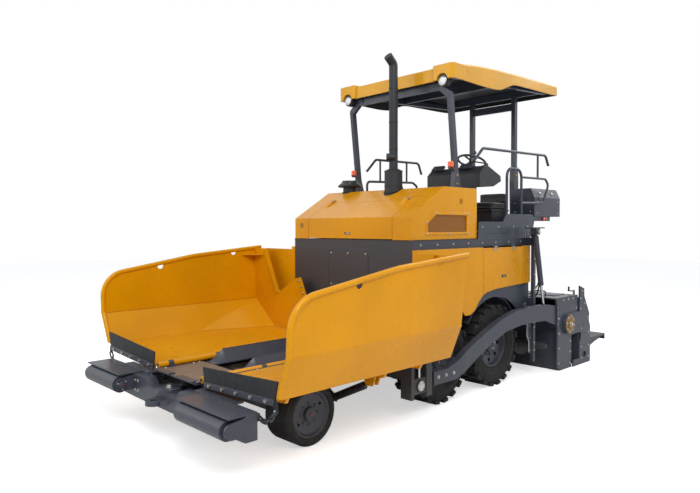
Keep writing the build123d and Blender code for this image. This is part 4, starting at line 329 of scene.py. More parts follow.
YELLOW = linear(228, 154, 0)
SLATE = linear(56, 62, 75)
BARE = linear(150, 150, 148)
AMBER = (1.0, 0.78, 0.25, 1.0)
MATS = {
    # each paint's worn colour is worn paint at the edges and also a painted edge highlight
    "yellow": paint(
        "yellow_paint", YELLOW, 0.28, 0.16, linear(120, 90, 40), edge_wear_and_highlight=0.10, dust=0.03, peel=0.03, tint=AMBER
    ),
    "inner_yellow": paint(
        "hopper_paint", linear(232, 160, 4), 0.30, 0.18, linear(130, 104, 60), edge_wear_and_highlight=0.3, dust=0.08,
        peel=0.03, tint=AMBER,
    ),
    "slate": paint("slate_paint", SLATE, 0.38, 0.12, BARE, edge_wear_and_highlight=0.3, dust=0.10),
    "bulkhead": paint("bulkhead_paint", linear(60, 58, 62), 0.45, 0.05, BARE, edge_wear_and_highlight=0.2, dust=0.1),
    "dark": paint("dark_paint", linear(32, 35, 41), 0.45, 0.1, linear(110, 110, 110), edge_wear_and_highlight=0.25, dust=0.1),
    "chassis": paint(
        "chassis_paint", linear(44, 48, 57), 0.5, 0.05, linear(110, 108, 104), edge_wear_and_highlight=0.35, dust=0.3
    ),
    "exhaust": paint(
        "heat_paint", linear(38, 40, 46), 0.55, 0.0, linear(100, 90, 80), edge_wear_and_highlight=0.3, dust=0.12, peel=0.12
    ),
    "canopy": paint(
        "canopy_paint", linear(222, 160, 30), 0.30, 0.3, linear(200, 160, 90), edge_wear_and_highlight=0.04, dust=0.05,
        peel=0.05, radius=0.012, tint=AMBER,
    ),
    "lining": plastic("canopy_lining", linear(30, 33, 38), 0.6),
    # each rubber's second colour is dust, and also a painted highlight along the edges
    "tyre": rubber("tyre_rubber", linear(22, 22, 25), linear(80, 76, 71), dust=0.3),
    "solid_tyre": rubber("solid_tyre_rubber", linear(21, 21, 24), linear(78, 75, 71), rough=0.62, dust=0.3),
    "apron": rubber(
        "apron_rubber", linear(31, 33, 37), linear(74, 72, 70), rough=0.6, grain=40.0, dust=0.25
    ),
    "hose": rubber("hose_rubber", linear(18, 18, 20), linear(60, 58, 55), rough=0.5, dust=0.2),
    "chrome": steel("chrome_rod", linear(215, 216, 220), 0.12, (1.0, 1.0, 6.0)),
    "bolt": steel("zinc_bolt", linear(196, 194, 186), 0.3, None, linear(120, 100, 70), 0.25),
    "worn": steel(
        "worn_steel", linear(150, 146, 140), 0.42, (0.2, 3.0, 1.0), linear(112, 84, 60), 0.45, grain=60.0
    ),
    "brass": steel("passivated_steel", linear(190, 150, 82), 0.34, None, linear(120, 90, 50), 0.3),
    "tread": treaded("tread_plate", linear(70, 72, 78)),
    # each mesh's second colour is painted shade between the wires
    "mesh": woven("grille_mesh", linear(178, 112, 26), linear(44, 30, 12), 0.011),
    "black_mesh": woven("black_mesh", linear(52, 54, 58), linear(8, 8, 9), 0.013),
    "desk": plastic("desk_plastic", linear(38, 41, 48), 0.55),
    "knob": plastic("knob_plastic", linear(20, 21, 23), 0.3, coat=0.3),
    "screen": plastic("screen_plastic", linear(16, 19, 24), 0.12, coat=0.9, strength=0.01),
    "white": plastic("white_plastic", linear(214, 214, 208), 0.4),
    "red": plastic("red_plastic", linear(176, 30, 22), 0.3, coat=0.5),
    "green": plastic("green_plastic", linear(36, 120, 60), 0.35, coat=0.4),
    "orange": glass_like("orange_lens", linear(240, 92, 24), 0.1, 0.15),
    "lens": glass_like("clear_lens", linear(226, 228, 232), 0.06, 0.1),
    "tail": glass_like("tail_lens", linear(170, 24, 18), 0.12, 0.05),
    "tan": steel("tan_disc", linear(158, 128, 84), 0.5, None, linear(110, 84, 56), 0.5),
    "edge": plastic("pale_edge", linear(205, 206, 204), 0.5),
    "vinyl": vinyl("seat_vinyl", linear(30, 31, 34)),
}


# ---- mesh helpers -------------------------------------------------------------------------
def merge(target, part, material, rounding=0.0, cuts=2):
    """Adds a closed form to a piece under construction, its sharp edges rounded."""
    if rounding > 0:
        sharp = [e for e in part.edges if len(e.link_faces) == 2 and e.calc_face_angle(0) > radians(28)]
        bmesh.ops.bevel(
            part, geom=sharp, offset=rounding, segments=cuts, profile=0.5, affect="EDGES",
            clamp_overlap=True,
        )
    for face in part.faces:
        face.material_index = material
    carried = bpy.data.meshes.new("carried")
    part.to_mesh(carried)
    part.free()
    target.from_mesh(carried)
    bpy.data.meshes.remove(carried)


def set_in(target, part, centre, axis, material, rounding=0.0):
    """Merges a form made about Z, turned to its axis and moved to its centre."""
    turn = Vector(axis).normalized().to_track_quat("Z", "Y").to_matrix().to_4x4()
    bmesh.ops.transform(part, matrix=Matrix.Translation(centre) @ turn, verts=part.verts)
    merge(target, part, material, rounding)


def add_box(target, low, high, material=0, rounding=0.002, turn=None):
    low, high = Vector(low), Vector(high)
    part = bmesh.new()
    bmesh.ops.create_cube(part, size=1.0)
    size = Vector(abs(h - l) for h, l in zip(high, low))
    where = Matrix.Translation((low + high) / 2) @ (
        turn or Matrix.Identity(4)
    ) @ Matrix.Diagonal((*size, 1.0))
    bmesh.ops.transform(part, matrix=where, verts=part.verts)
    merge(target, part, material, min(rounding, min(size) * 0.3))


def add_rod(target, start, end, radius, material=0, end_radius=None, sides=24, rounding=0.0):
    start, end = Vector(start), Vector(end)
    part = bmesh.new()
    bmesh.ops.create_cone(
        part, cap_ends=True, segments=sides, radius1=radius,
        radius2=radius if end_radius is None else end_radius,
        depth=(end - start).length,
    )
    set_in(target, part, (start + end) / 2, end - start, material, rounding)


def circle(count):
    """Cosine and sine of evenly spaced turns."""
    return [(cos(2 * pi * k / count), sin(2 * pi * k / count)) for k in range(count)]


def bridge(part, first, second):
    """A band of faces between two closed rows of points."""
    for corners in zip(first, first[1:] + first[:1], second[1:] + second[:1], second):
        part.faces.new(corners)


def add_lathe(target, centre, axis, profile, material=0, sides=40):
    """A turned form; profile is (radius, distance along the axis), and a radius of 0 closes it."""
    part = bmesh.new()
    rings = []
    for radius, along in profile:
        if radius <= 0:
            rings.append([part.verts.new((0, 0, along))])
        else:
            rings.append([part.verts.new((radius * c, radius * s, along)) for c, s in circle(sides)])
    for first, second in zip(rings, rings[1:]):
        for k in range(sides):
            ends = [(first, k), (first, k + 1), (second, k + 1), (second, k)]
            corners = list(dict.fromkeys(ring[j % len(ring)] for ring, j in ends))
            if len(corners) > 2:
                part.faces.new(corners)
    bmesh.ops.recalc_face_normals(part, faces=part.faces)
    set_in(target, part, centre, axis, material)


def add_ring(target, centre, axis, radius, thick, material=0, sides=48, around=10):
    part = bmesh.new()
    rings = []
    for a, b in circle(around):
        r = radius + thick * a
        rings.append([part.verts.new((r * c, r * s, thick * b)) for c, s in circle(sides)])
    for first, second in zip(rings, rings[1:] + rings[:1]):
        bridge(part, first, second)
    bmesh.ops.recalc_face_normals(part, faces=part.faces)
    set_in(target, part, centre, axis, material)


def add_tube(target, points, radius, material=0, sides=14):
    """A round tube through smooth points, with closed ends."""
    points = [Vector(p) for p in points]
    part = bmesh.new()
    rings = []
    side = None
    for k, point in enumerate(points):
        ahead = (points[min(k + 1, len(points) - 1)] - points[max(k - 1, 0)]).normalized()
        side = ahead.orthogonal() if side is None else side - ahead * side.dot(ahead)
        side = side.normalized()
        other = ahead.cross(side)
        rings.append([part.verts.new(point + (side * c + other * s) * radius) for c, s in circle(sides)])
    for first, second in zip(rings, rings[1:]):
        bridge(part, first, second)
    part.faces.new(rings[0][::-1])
    part.faces.new(rings[-1])
    bmesh.ops.recalc_face_normals(part, faces=part.faces)
    merge(target, part, material)


def add_frame(target, outline, width, origin, across, up, depth, material=0):
    """A raised border that follows an outline, of that width inwards."""
    inner = inset(outline, width)
    across, up, origin = Vector(across), Vector(up), Vector(origin)
    out = across.cross(up)
    part = bmesh.new()
    rows = []
    for loop, level in ((outline, 0.0), (outline, depth), (inner, depth), (inner, 0.0)):
        rows.append([part.verts.new(origin + across * a + up * b + out * level) for a, b in loop])
    for first, second in zip(rows, rows[1:] + rows[:1]):
        bridge(part, first, second)
    bmesh.ops.recalc_face_normals(part, faces=part.faces)
    merge(target, part, material, min(depth, width) * 0.3)


def inset(outline, width):
    """The outline moved inwards; its corners may run either way round."""
    area = sum(a[0] * b[1] - b[0] * a[1] for a, b in zip(outline, outline[1:] + outline[:1]))
    turn = 1 if area > 0 else -1
    result = []
    for k in range(len(outline)):
        before, here, after = (Vector(outline[(k + d) % len(outline)]) for d in (-1, 0, 1))
        first = (here - before).normalized()
        second = (after - here).normalized()
        inward = Vector((-first.y - second.y, first.x + second.x)) * turn
        inward = inward.normalized()
        lean = inward.dot(Vector((-first.y, first.x)) * turn)
        result.append(tuple(here + inward * (width / max(lean, 0.3))))
    return result


def add_bolt(target, at, out, size, material=1):
    """A hexagon head with a chamfer on a washer; size is half the width over the corners."""
    at, out = Vector(at), Vector(out).normalized()
    add_rod(
        target, at - out * 0.001, at + out * size * 0.22, size * 1.35, material, sides=20,
        rounding=size * 0.06,
    )
    add_rod(target, at, at + out * size * 0.75, size, material, sides=6, rounding=size * 0.12)
    add_rod(
        target, at + out * size * 0.7, at + out * size * 0.85, size * 0.78, material, end_radius=size * 0.7,
        sides=18,
    )


def add_bolts(target, xs, ys, zs, out, size, material=1):
    """Bolts at each crossing of the places given; each is one number or a row of them."""
    rows = [row if isinstance(row, (tuple, list)) else (row,) for row in (xs, ys, zs)]
    for at in product(*rows):
        add_bolt(target, at, out, size, material)


def cap(radius, height, top_radius, top, start=0):
    """The profile of a turned cap with a bevelled edge."""
    return [(radius, start), (radius, height), (top_radius, top), (0, top)]


def spots_round(centre, count, radius, phase=0.0):
    """Points in a ring about a line across the machine."""
    for k in range(count):
        turn = 2 * pi * k / count + phase
        yield centre + Vector((cos(turn), 0, sin(turn))) * radius


def linked(name, data):
    """An object with that data, in the scene."""
    obj = bpy.data.objects.new(name, data)
    bpy.context.scene.collection.objects.link(obj)
    return obj


def smooth_mesh(name, bm, materials):
    mesh = bpy.data.meshes.new(name)
    bm.to_mesh(mesh)
    bm.free()
    for key in materials:
        mesh.materials.append(MATS[key])
    for polygon in mesh.polygons:
        polygon.use_smooth = True
    return mesh


def piece(name, bm, body, materials):
    """A finished small piece, on its body."""
    mesh = smooth_mesh(name, bm, materials)
    mesh.set_sharp_from_angle(angle=radians(32))
    obj = linked(name, mesh)
    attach(obj, body)
    return obj


# ---- finishes of the CAD nodes -----------------------------------------------------------
def dress(node, *keys, pick=None):
    """Gives a node its materials; pick(centre, normal) says which one a face takes."""
    mesh = NODES[node].data
    mesh.materials.clear()
    for key in keys:
        mesh.materials.append(MATS[key])
    for polygon in mesh.polygons:
        polygon.material_index = pick(polygon.center, polygon.normal) if pick else 0


def around(x, z, radius):
    """0 outside that radius about an axle across the machine, 1 inside it."""
    return lambda centre, normal: 1 if (centre.x - x) ** 2 + (centre.z - z) ** 2 < radius ** 2 else 0


for side, _ in SIDES:
    for wheel, x in REAR_WHEELS:
        dress(f"{wheel}_{side}", "tyre", "slate", pick=around(x, REAR_AXLE_Z, 0.2621))
    dress(f"front_wheel_{side}", "solid_tyre", "slate", pick=around(FRONT_AXLE.x, FRONT_AXLE.z, 0.2051))
    dress(f"wing_{side}", "yellow", "inner_yellow", pick=lambda c, n: 1 if n.z > 0.25 and c.z < 1.1 else 0)
    dress(f"apron_{side}", "apron", "slate", "bolt", pick=lambda c, n: (
        2 if c.x > 2.971 and c.z > 0.56 else 1 if c.x > 2.9635 or c.z < 0.556 else 0))
    dress(f"tow_slide_{side}", "chassis", "chrome", pick=lambda c, n: (
        1 if abs(abs(c.y) - 1.211) < 0.0145 and c.z > 0.415 else 0))
    for node, key in (
        ("knuckle", "chassis"), ("auger", "chassis"), ("push_roller", "slate"), ("lift_barrel", "slate"),
        ("wing_barrel", "dark"), ("wing_rod", "chrome"), ("lift_rod", "chrome"),
    ):
        dress(f"{node}_{side}", key)
    dress(f"side_door_{side}", "yellow", "bolt", pick=lambda c, n: 1 if abs(c.y) > 1.0301 else 0)
    dress(f"extension_{side}", "slate", "tread", pick=lambda c, n: 1 if c.x < -2.76 and n.z > 0.9 else 0)
for node, key in (
    ("front_axle", "chassis"), ("tandem_cases", "chassis"), ("tie_rod", "chassis"), (
        "main_frame", "chassis"
    ),
    ("front_beam", "slate"), ("rear_boxes", "slate"), ("handrails", "slate"), ("canopy_frame", "slate"),
    ("screed", "slate"), ("tow_arms", "slate"), ("engine", "dark"), ("air_intake", "dark"),
    ("seat_base", "dark"), ("exhaust", "exhaust"), ("side_panels", "yellow"), ("hood_grilles", "mesh"),
    ("conveyor", "worn"), ("console", "desk"), ("steering_wheel", "knob"), ("seat_cushion", "vinyl"),
):
    dress(node, key)
dress("hopper_centre", "slate", "worn", pick=lambda c, n: (
    1 if n.z > 0.9 and c.x > 2.49 and c.z < 0.58 else 0))
dress("body_shell", "slate", "yellow", "bulkhead", pick=lambda c, n: (
    2 if c.x > 0.768 and n.x > 0.9
    else 1 if 1.0085 < abs(c.y) < 1.0305 and c.x < -1.33 and 1.185 < c.z < 1.677 else 0))
dress("hood_shell", "yellow", "bolt", pick=lambda c, n: (
    1 if 0.455 < c.x < 0.485 and 0.57 < abs(c.y) < 0.67 and c.z > 2.215 + (0.48 - c.x) * 0.6 + 0.012 else 0))
dress("hood_door", "yellow", "bolt", pick=lambda c, n: (
    1 if c.x < 0.500 and 0.59 < abs(c.y) < 0.65 and c.z > 2.027 + (0.802 - c.x) * 0.596 + 0.0015 else 0))
dress("deck", "slate", "tread", pick=lambda c, n: 1 if n.z > 0.9 and abs(c.z - 1.86) < 0.002 else 0)


def height_of(node):
    """A function that gives the height of a node's top surface over a spot, or 0 beside it."""
    mesh = NODES[node].data
    tree = BVHTree.FromPolygons([v.co for v in mesh.vertices], [tuple(p.vertices) for p in mesh.polygons])

    def top(x, y):
        hit = tree.ray_cast(Vector((x, y, 6.0)), Vector((0, 0, -1)))[0]
        return hit.z if hit else 0.0
    return top


roof_z = height_of("canopy_roof")


def canopy_face(c, n):
    """1 on the inside of the canopy, 0 outside and on its rim."""
    if n.z < -0.3:
        return 1 if 0 < roof_z(c.x, c.y) - c.z < 0.05 else 0
    across = 0.905 < abs(c.y) < 0.9175 and c.y * n.y < -0.5 * abs(c.y)
    along = (c.x > -0.004 and n.x < -0.5) or (c.x < -2.408 and n.x > 0.5)
    return 1 if across or along else 0


dress("canopy_roof", "canopy", "lining", pick=canopy_face)
dress("lamps", "dark", "orange", "tail", pick=lambda c, n: 1 if 2.6 < c.z < 2.7 else 2 if c.x < -2 else 0)


# ---- wheels ------------------------------------------------------------------------------
def wheel_fittings():
    for side, sign in SIDES:
        out = Vector((0, sign, 0))
        for wheel, x in REAR_WHEELS:
            bm = bmesh.new()
            centre = Vector((x, sign * REAR_WHEEL_Y, REAR_AXLE_Z))
            for at in spots_round(centre + out * 0.056, 10, 0.124, 0.2):
                add_bolt(bm, at, out, 0.0145, 2)
                add_rod(bm, at, at + out * 0.022, 0.0075, 2, sides=14, rounding=0.001)
            for radius, height in ((0.300, 0.1435), (0.345, 0.1535), (0.428, 0.1500)):
                for face in (-1, 1):
                    add_ring(bm, centre + out * face * height, out, radius, 0.0035, 0, sides=72, around=8)
            for at in spots_round(centre + out * 0.1195, 3, 0.042, 0.5):
                add_bolt(bm, at, out, 0.008)
            hub_cap = [(0.024, 0), (0.024, 0.006), (0.018, 0.011), (0, 0.012)]
            add_lathe(bm, centre + out * 0.119, out, hub_cap, 2, 24)
            valve = centre + out * 0.085 + Vector((0.150, 0, 0.150))
            tip = valve + out * 0.05 + Vector((0.006, 0, 0.006))
            add_rod(bm, valve, tip, 0.005, 0, sides=12, rounding=0.001)
            materials = ("tyre", "bolt", "slate")
            piece(f"{wheel}_fittings_{side}", bm, f"{wheel}_{side}", materials)
        bm = bmesh.new()
        centre = Vector((FRONT_AXLE.x, sign * FRONT_AXLE.y, FRONT_AXLE.z))
        for at in spots_round(centre + out * 0.1195, 8, 0.092):
            add_bolt(bm, at, out, 0.013, 2)
        for radius in (0.224, 0.246):
            for face in (-1, 1):
                add_ring(bm, centre + out * face * 0.1695, out, radius, 0.0028, 0, sides=64, around=8)
        hub = [(0.052, 0), (0.050, 0.004), (0.018, 0.006), (0.016, 0.010), (0, 0.011)]
        add_lathe(bm, centre + out * 0.1435, out, hub, 2, 32)
        add_lathe(bm, centre + out * 0.1540, out, [(0.010, 0), (0.009, 0.005), (0, 0.006)], 3, 20)
        materials = ("solid_tyre", "bolt", "slate", "red")
        piece(f"front_wheel_fittings_{side}", bm, f"front_wheel_{side}", materials)


wheel_fittings()


# ---- hood, body and side panels -----------------------------------------------------------
GRILLE_FRAME = [(-0.248, 1.826), (0.546, 1.826), (0.546, 1.976), (0.376, 2.086), (-0.248, 2.086)]
GRILLE_BOLTS = (
    (-0.231, 1.843), (0.149, 1.843), (0.529, 1.843), (0.529, 1.967), (0.371, 2.069), (0.070, 2.069),
    (-0.231, 2.069), (-0.231, 1.956),
)
DOOR_FOLD = (
    (-0.433, 1.115), (-0.433, 1.664), (-1.327, 1.664), (-1.327, 1.193), (-0.945, 1.179), (-0.682, 1.166),
    (-0.503, 1.141),
)
SHIELD_EDGE = [
    (-1.400, 0.300), (-1.400, 0.440), (-1.350, 0.520), (-1.350, 0.740), (-1.400, 0.800), (-1.400, 0.897)
]


def hood_fittings():
    bm = bmesh.new()
    for _, sign in SIDES:
        outline = [(-sign * x, z) for x, z in GRILLE_FRAME]
        add_frame(bm, outline, 0.034, (0, sign * (HOOD_Y - 0.0003), 0), (-sign, 0, 0), UP, 0.0045, 0)
        for x, z in GRILLE_BOLTS:
            add_bolt(bm, (x, sign * (HOOD_Y + 0.004), z), (0, sign, 0), 0.0085)
        # slotted round vent
        for k in range(5):
            z = VENT_Z + (k - 2) * 0.0135
            half = VENT_R * (1 - ((k - 2) / 2.8) ** 2) ** 0.5
            low = (VENT_X - half, sign * (HOOD_Y - 0.006), z - SLAT / 2)
            high = (VENT_X + half, sign * (HOOD_Y + 0.001), z + SLAT / 2)
            add_box(bm, low, high, 0, 0.001)
        add_ring(bm, (VENT_X, sign * HOOD_Y, VENT_Z), (0, 1, 0), 0.0345, 0.0022, 0, sides=40, around=8)
        hollow = [(0, 0), (VENT_R, 0.0005), (VENT_R, 0.002), (0, 0.0025)]
        add_lathe(bm, (VENT_X, sign * (HOOD_Y - 0.011), VENT_Z), (0, sign, 0), hollow, 2, 32)
    # a smaller vent on the right corner of the front
    for k in range(5):
        z = 1.941 + (k - 2) * 0.013
        half = 0.030 * (1 - ((k - 2) / 3) ** 2) ** 0.5
        add_box(bm, (0.7995, -0.818 - half, z - 0.003), (0.8035, -0.818 + half, z + 0.003), 2, 0.0008)
    piece("hood_fittings", bm, "chassis", ("yellow", "bolt", "black_mesh"))
    bm = bmesh.new()
    # latch in the recess of the front door
    add_box(bm, (0.7945, -0.047, 1.8365), (0.7985, 0.047, 1.8585), 0, 0.001)
    add_box(bm, (0.7985, -0.030, 1.841), (0.8025, 0.022, 1.854), 1, 0.002)
    add_lathe(bm, (0.7985, 0.036, 1.8475), AHEAD, cap(0.007, 0.003, 0.005, 0.004), 1, 20)
    # screws of the hinges on the slope
    slope = Vector((-0.572, 0, 0.341)).normalized()
    normal = Vector((0.341, 0, 0.572)).normalized()
    for y in (-0.62, 0.62):
        middle = Vector((0.524, y, 2.027 + (0.802 - 0.524) * 0.596 + 0.0035)) + normal * 0.004
        for a, b in ((-0.022, -0.014), (-0.022, 0.014), (0.016, -0.014), (0.016, 0.014)):
            add_bolt(bm, middle + slope * a + Vector((0, b, 0)), normal, 0.0055)
    piece("hood_door_fittings", bm, "hood_door", ("dark", "bolt"))


def body_fittings():
    bm = bmesh.new()
    # screws of the bulkhead's service plate, and the beading round it
    add_bolts(bm, 0.794, (-0.285, 0.0, 0.285), (1.245, 1.615), AHEAD, 0.008)
    corners = [(-0.34, 1.195), (0.34, 1.195), (0.34, 1.665), (-0.34, 1.665)]
    add_frame(bm, corners, 0.008, (0.7898, 0, 0), (0, 1, 0), UP, 0.003, 0)
    for _, sign in SIDES:
        out = (0, sign, 0)
        # bolts along the rail, and the lip under the hood
        add_bolts(bm, [0.66 - k * 0.29 for k in range(8)], sign * BODY_Y, 1.725, out, 0.0085)
        add_box(bm, (-1.50, sign * 0.9695, 1.769), (0.795, sign * 0.9735, 1.7755), 0, 0.0015)
        # bolts of the rear post and of the shield before it, and the shield's pale edge
        heights = (0.32, 0.42, 0.62, 0.68, 1.10, 1.30, 1.50, 1.70)
        add_bolts(bm, -1.485, sign * POST_FACE, heights, out, 0.0105)
        add_bolts(bm, -1.432, sign * SHIELD_FACE, (0.32, 0.48, 0.64, 0.86), out, 0.008)
        for (x1, z1), (x2, z2) in zip(SHIELD_EDGE, SHIELD_EDGE[1:]):
            add_tube(bm, [(x1, sign * 1.0815, z1), (x2, sign * 1.0815, z2)], 0.0045, 2, 10)
        # pin caps of the lift cylinder's head
        for y in (1.135, 1.245):
            add_lathe(
                bm, (-1.348, sign * y, 1.850), (0, sign * (1 if y > 1.2 else -1), 0),
                cap(0.026, 0.004, 0.020, 0.008, -0.004), 1, 24,
            )
        # bolts along the fenders over the rear wheels
        for axle, turn in ((-0.660, 150), (0.400, 62)):
            a = radians(turn)
            at = Vector((axle + 0.592 * cos(a), 0, REAR_AXLE_Z + 0.592 * sin(a)))
            for y in (0.74, 0.83, 0.92):
                add_bolt(bm, (at.x + 0.002 * cos(a), sign * y, at.z), (cos(a), 0, sin(a)), 0.009)
    piece("body_fittings", bm, "chassis", ("slate", "bolt", "edge"))
    for side, sign in SIDES:
        bm = bmesh.new()
        # fold round the door, its latch and the screws of its hinges
        outline = [(sign * x, z) for x, z in DOOR_FOLD]
        add_frame(bm, outline, 0.016, (0, sign * (PANEL_Y - 0.0003), 0), (sign, 0, 0), UP, -0.002, 0)
        add_box(
            bm, (-0.93, sign * (PANEL_Y - 0.0003), 1.300), (-0.83, sign * (PANEL_Y + 0.003), 1.332), 1,
            0.003,
        )
        add_box(
            bm, (-0.905, sign * (PANEL_Y + 0.002) - 0.002, 1.309),
            (-0.862, sign * (PANEL_Y + 0.002) + 0.004, 1.323), 2, 0.003,
        )
        screws = (-0.694, -0.666, -1.094, -1.066)
        add_bolts(bm, screws, sign * (PANEL_Y + 0.0049), 1.650, (0, sign, 0), 0.0055, 2)
        piece(
            f"side_door_fittings_{side}", bm, f"side_door_{side}", ("yellow", "dark", "bolt"),
        )


def exhaust_fittings():
    bm = bmesh.new()
    x, y = 0.250, 0.222
    # rolled edges of the muffler's sleeve, and clamps up the stack
    for z in (2.400, 2.582):
        add_ring(bm, (x, y, z), UP, 0.1075, 0.004, 0, sides=64)
    for z in (2.60, 2.83, 3.15, 3.55):
        add_lathe(
            bm, (x, y, z), UP, [(0.0522, 0), (0.0545, 0.002), (0.0545, 0.012), (0.0522, 0.014)], 0, 40
        )
        add_rod(
            bm, (x + 0.053, y - 0.012, z + 0.007), (x + 0.053, y + 0.014, z + 0.007), 0.005, 0, sides=10
        )
    add_lathe(bm, (x, y, 2.584), UP, [(0.106, 0), (0.090, 0.010), (0.060, 0.022), (0.0525, 0.030)], 0, 48)
    # bolts of the folding joint
    joint = Vector((0.34, 0.192, 2.745))
    out = Vector((0.7071, -0.7071, 0))
    for k in range(4):
        turn = k * pi / 2 + 0.6
        spoke = Vector((0.7071 * sin(turn), 0.7071 * sin(turn), cos(turn)))
        add_bolt(bm, joint - out * 0.0005 + spoke * 0.028, out, 0.0065)
    # rubber collar where the stack leaves the hood, and the intake's mesh and clamp
    add_ring(bm, (x, y, 2.3555), (0.35, 0, 1), 0.1135, 0.007, 2, sides=64)
    ix, iy = 0.170, -0.600
    add_ring(bm, (ix, iy, 2.369), UP, 0.094, 0.006, 2, sides=56)
    add_lathe(
        bm, (ix, iy, 2.385), UP, [(0.0885, 0), (0.0905, 0.001), (0.0905, 0.032), (0.0885, 0.033)], 3, 48
    )
    for k in range(8):
        turn = k * pi / 4
        spoke = Vector((cos(turn), sin(turn), 0))
        add_bolt(bm, spoke * 0.125 + Vector((ix, iy, 2.4755)), spoke * 0.4 + Vector((0, 0, 0.9)), 0.006)
    piece("exhaust_fittings", bm, "chassis", ("exhaust", "bolt", "hose", "black_mesh"))


hood_fittings()
body_fittings()
exhaust_fittings()


# ---- hopper ------------------------------------------------------------------------------
def hopper_fittings():
    for side, sign in SIDES:
        bm = bmesh.new()
        # weld beads along the folds of the sheet, seams of the wall, bolts of the rear corner plate
        add_tube(bm, [(0.935, sign * 1.634, 0.985), (2.94, sign * 1.634, 0.985)], 0.0045, 0, 8)
        for x in (1.53, 2.18):
            add_tube(
                bm, [(x, sign * 1.6345, 0.99), (x, sign * 1.6655, 1.565 if x < 2 else 1.48)], 0.0022, 0, 8
            )
        add_tube(bm, [(0.9285, sign * 1.632, 1.0), (0.9285, sign * 1.663, 1.64)], 0.005, 0, 8)
        add_tube(bm, [(0.9285, sign * 0.46, 0.6155), (0.9285, sign * 1.22, 0.652)], 0.005, 0, 8)
        for y, z in ((0.632, 1.115), (0.672, 1.190), (0.708, 1.258)):
            add_bolt(bm, (0.9420, sign * y, z), AHEAD, 0.011)
        # bolts along the floor's inner edge
        add_bolts(bm, [1.05 + k * 0.225 for k in range(9)], sign * 0.462, 0.6098, UP, 0.0085)
        # edge strip of the floor by the conveyor
        add_box(bm, (0.93, sign * 0.426, 0.6075), (2.945, sign * 0.446, 0.6125), 2, 0.0015)
        piece(f"wing_fittings_{side}", bm, f"wing_{side}", ("yellow", "bolt", "slate"))
    bm = bmesh.new()
    for _, sign in SIDES:
        # grease nipples and end caps of the rollers' brackets
        for y in (0.550, 1.3005):
            out = Vector((0, sign * (1 if y > 1 else -1), 0))
            add_lathe(bm, (3.237, sign * y, 0.432), out, cap(0.036, 0.008, 0.028, 0.012, -0.003), 0, 28)
            for at in spots_round(Vector((3.237, sign * y, 0.432)), 3, 0.043, 0.4):
                add_bolt(bm, at, out, 0.007)
        add_rod(
            bm, (3.237, sign * 0.538, 0.432), (3.237, sign * 0.530, 0.432), 0.008, 2, end_radius=0.005,
            sides=14,
        )
        # ribs along the guard plates, and bolts of the beam's face
        for x in (3.040, 3.076):
            add_box(bm, (x - 0.006, sign * 0.58, 0.5355), (x + 0.006, sign * 1.28, 0.5395), 0, 0.001)
        across = [sign * y for y in (0.47, 0.53, 1.02, 1.08)]
        add_bolts(bm, 3.1198, across, (0.375, 0.465), AHEAD, 0.012)
        add_bolts(bm, (2.535, 2.60, 2.90, 2.96), sign * 0.345, 0.575, UP, 0.009)
        # crest bead on the deflector
        add_tube(bm, [(0.94, sign * 0.275, 0.6845), (2.31, sign * 0.275, 0.6845)], 0.004, 0, 8)
    # pivot bolt of the round pad, and the pad's rim
    add_ring(bm, (3.040, 0, 0.4805), UP, 0.108, 0.005, 0, sides=56)
    add_bolt(bm, (3.040, 0, 0.4798), UP, 0.026)
    piece("beam_fittings", bm, "chassis", ("slate", "bolt", "red"))


hopper_fittings()


# ---- screed and tow arms -------------------------------------------------------------------
SIDE_PLATE_BOLTS = (
    (-1.88, 0.10), (-1.88, 0.30), (-1.88, 0.50), (-1.87, 0.70), (-2.00, 0.935), (-2.14, 0.935),
    (-2.28, 0.935), (-2.38, 0.80), (-2.38, 0.60), (-2.20, 0.06), (-2.20, 0.22), (-2.20, 0.36),
)
END_PLATE_BOLTS = (
    (-2.47, 0.78), (-2.47, 0.92), (-2.52, 1.02), (-2.60, 0.84), (-2.70, 0.64), (-2.50, 0.50),
    (-2.72, 0.42), (-2.72, 0.24), (-2.50, 0.24), (-2.52, 0.08), (-2.72, 0.08),
)
ARM_BEAD = (
    (0.525, 0.435), (0.343, 0.487), (0.108, 0.604), (-0.193, 0.722), (-0.511, 0.831), (-0.851, 0.903),
    (-1.215, 0.921), (-1.49, 0.9145),
)
GRAB_HANDLE = (
    (-1.98, 1.00, 0.974), (-1.98, 1.00, 1.02), (-1.985, 0.995, 1.032), (-1.995, 0.985, 1.037),
    (-1.995, 0.80, 1.037), (-1.985, 0.79, 1.032), (-1.98, 0.785, 1.02), (-1.98, 0.785, 0.974),
)


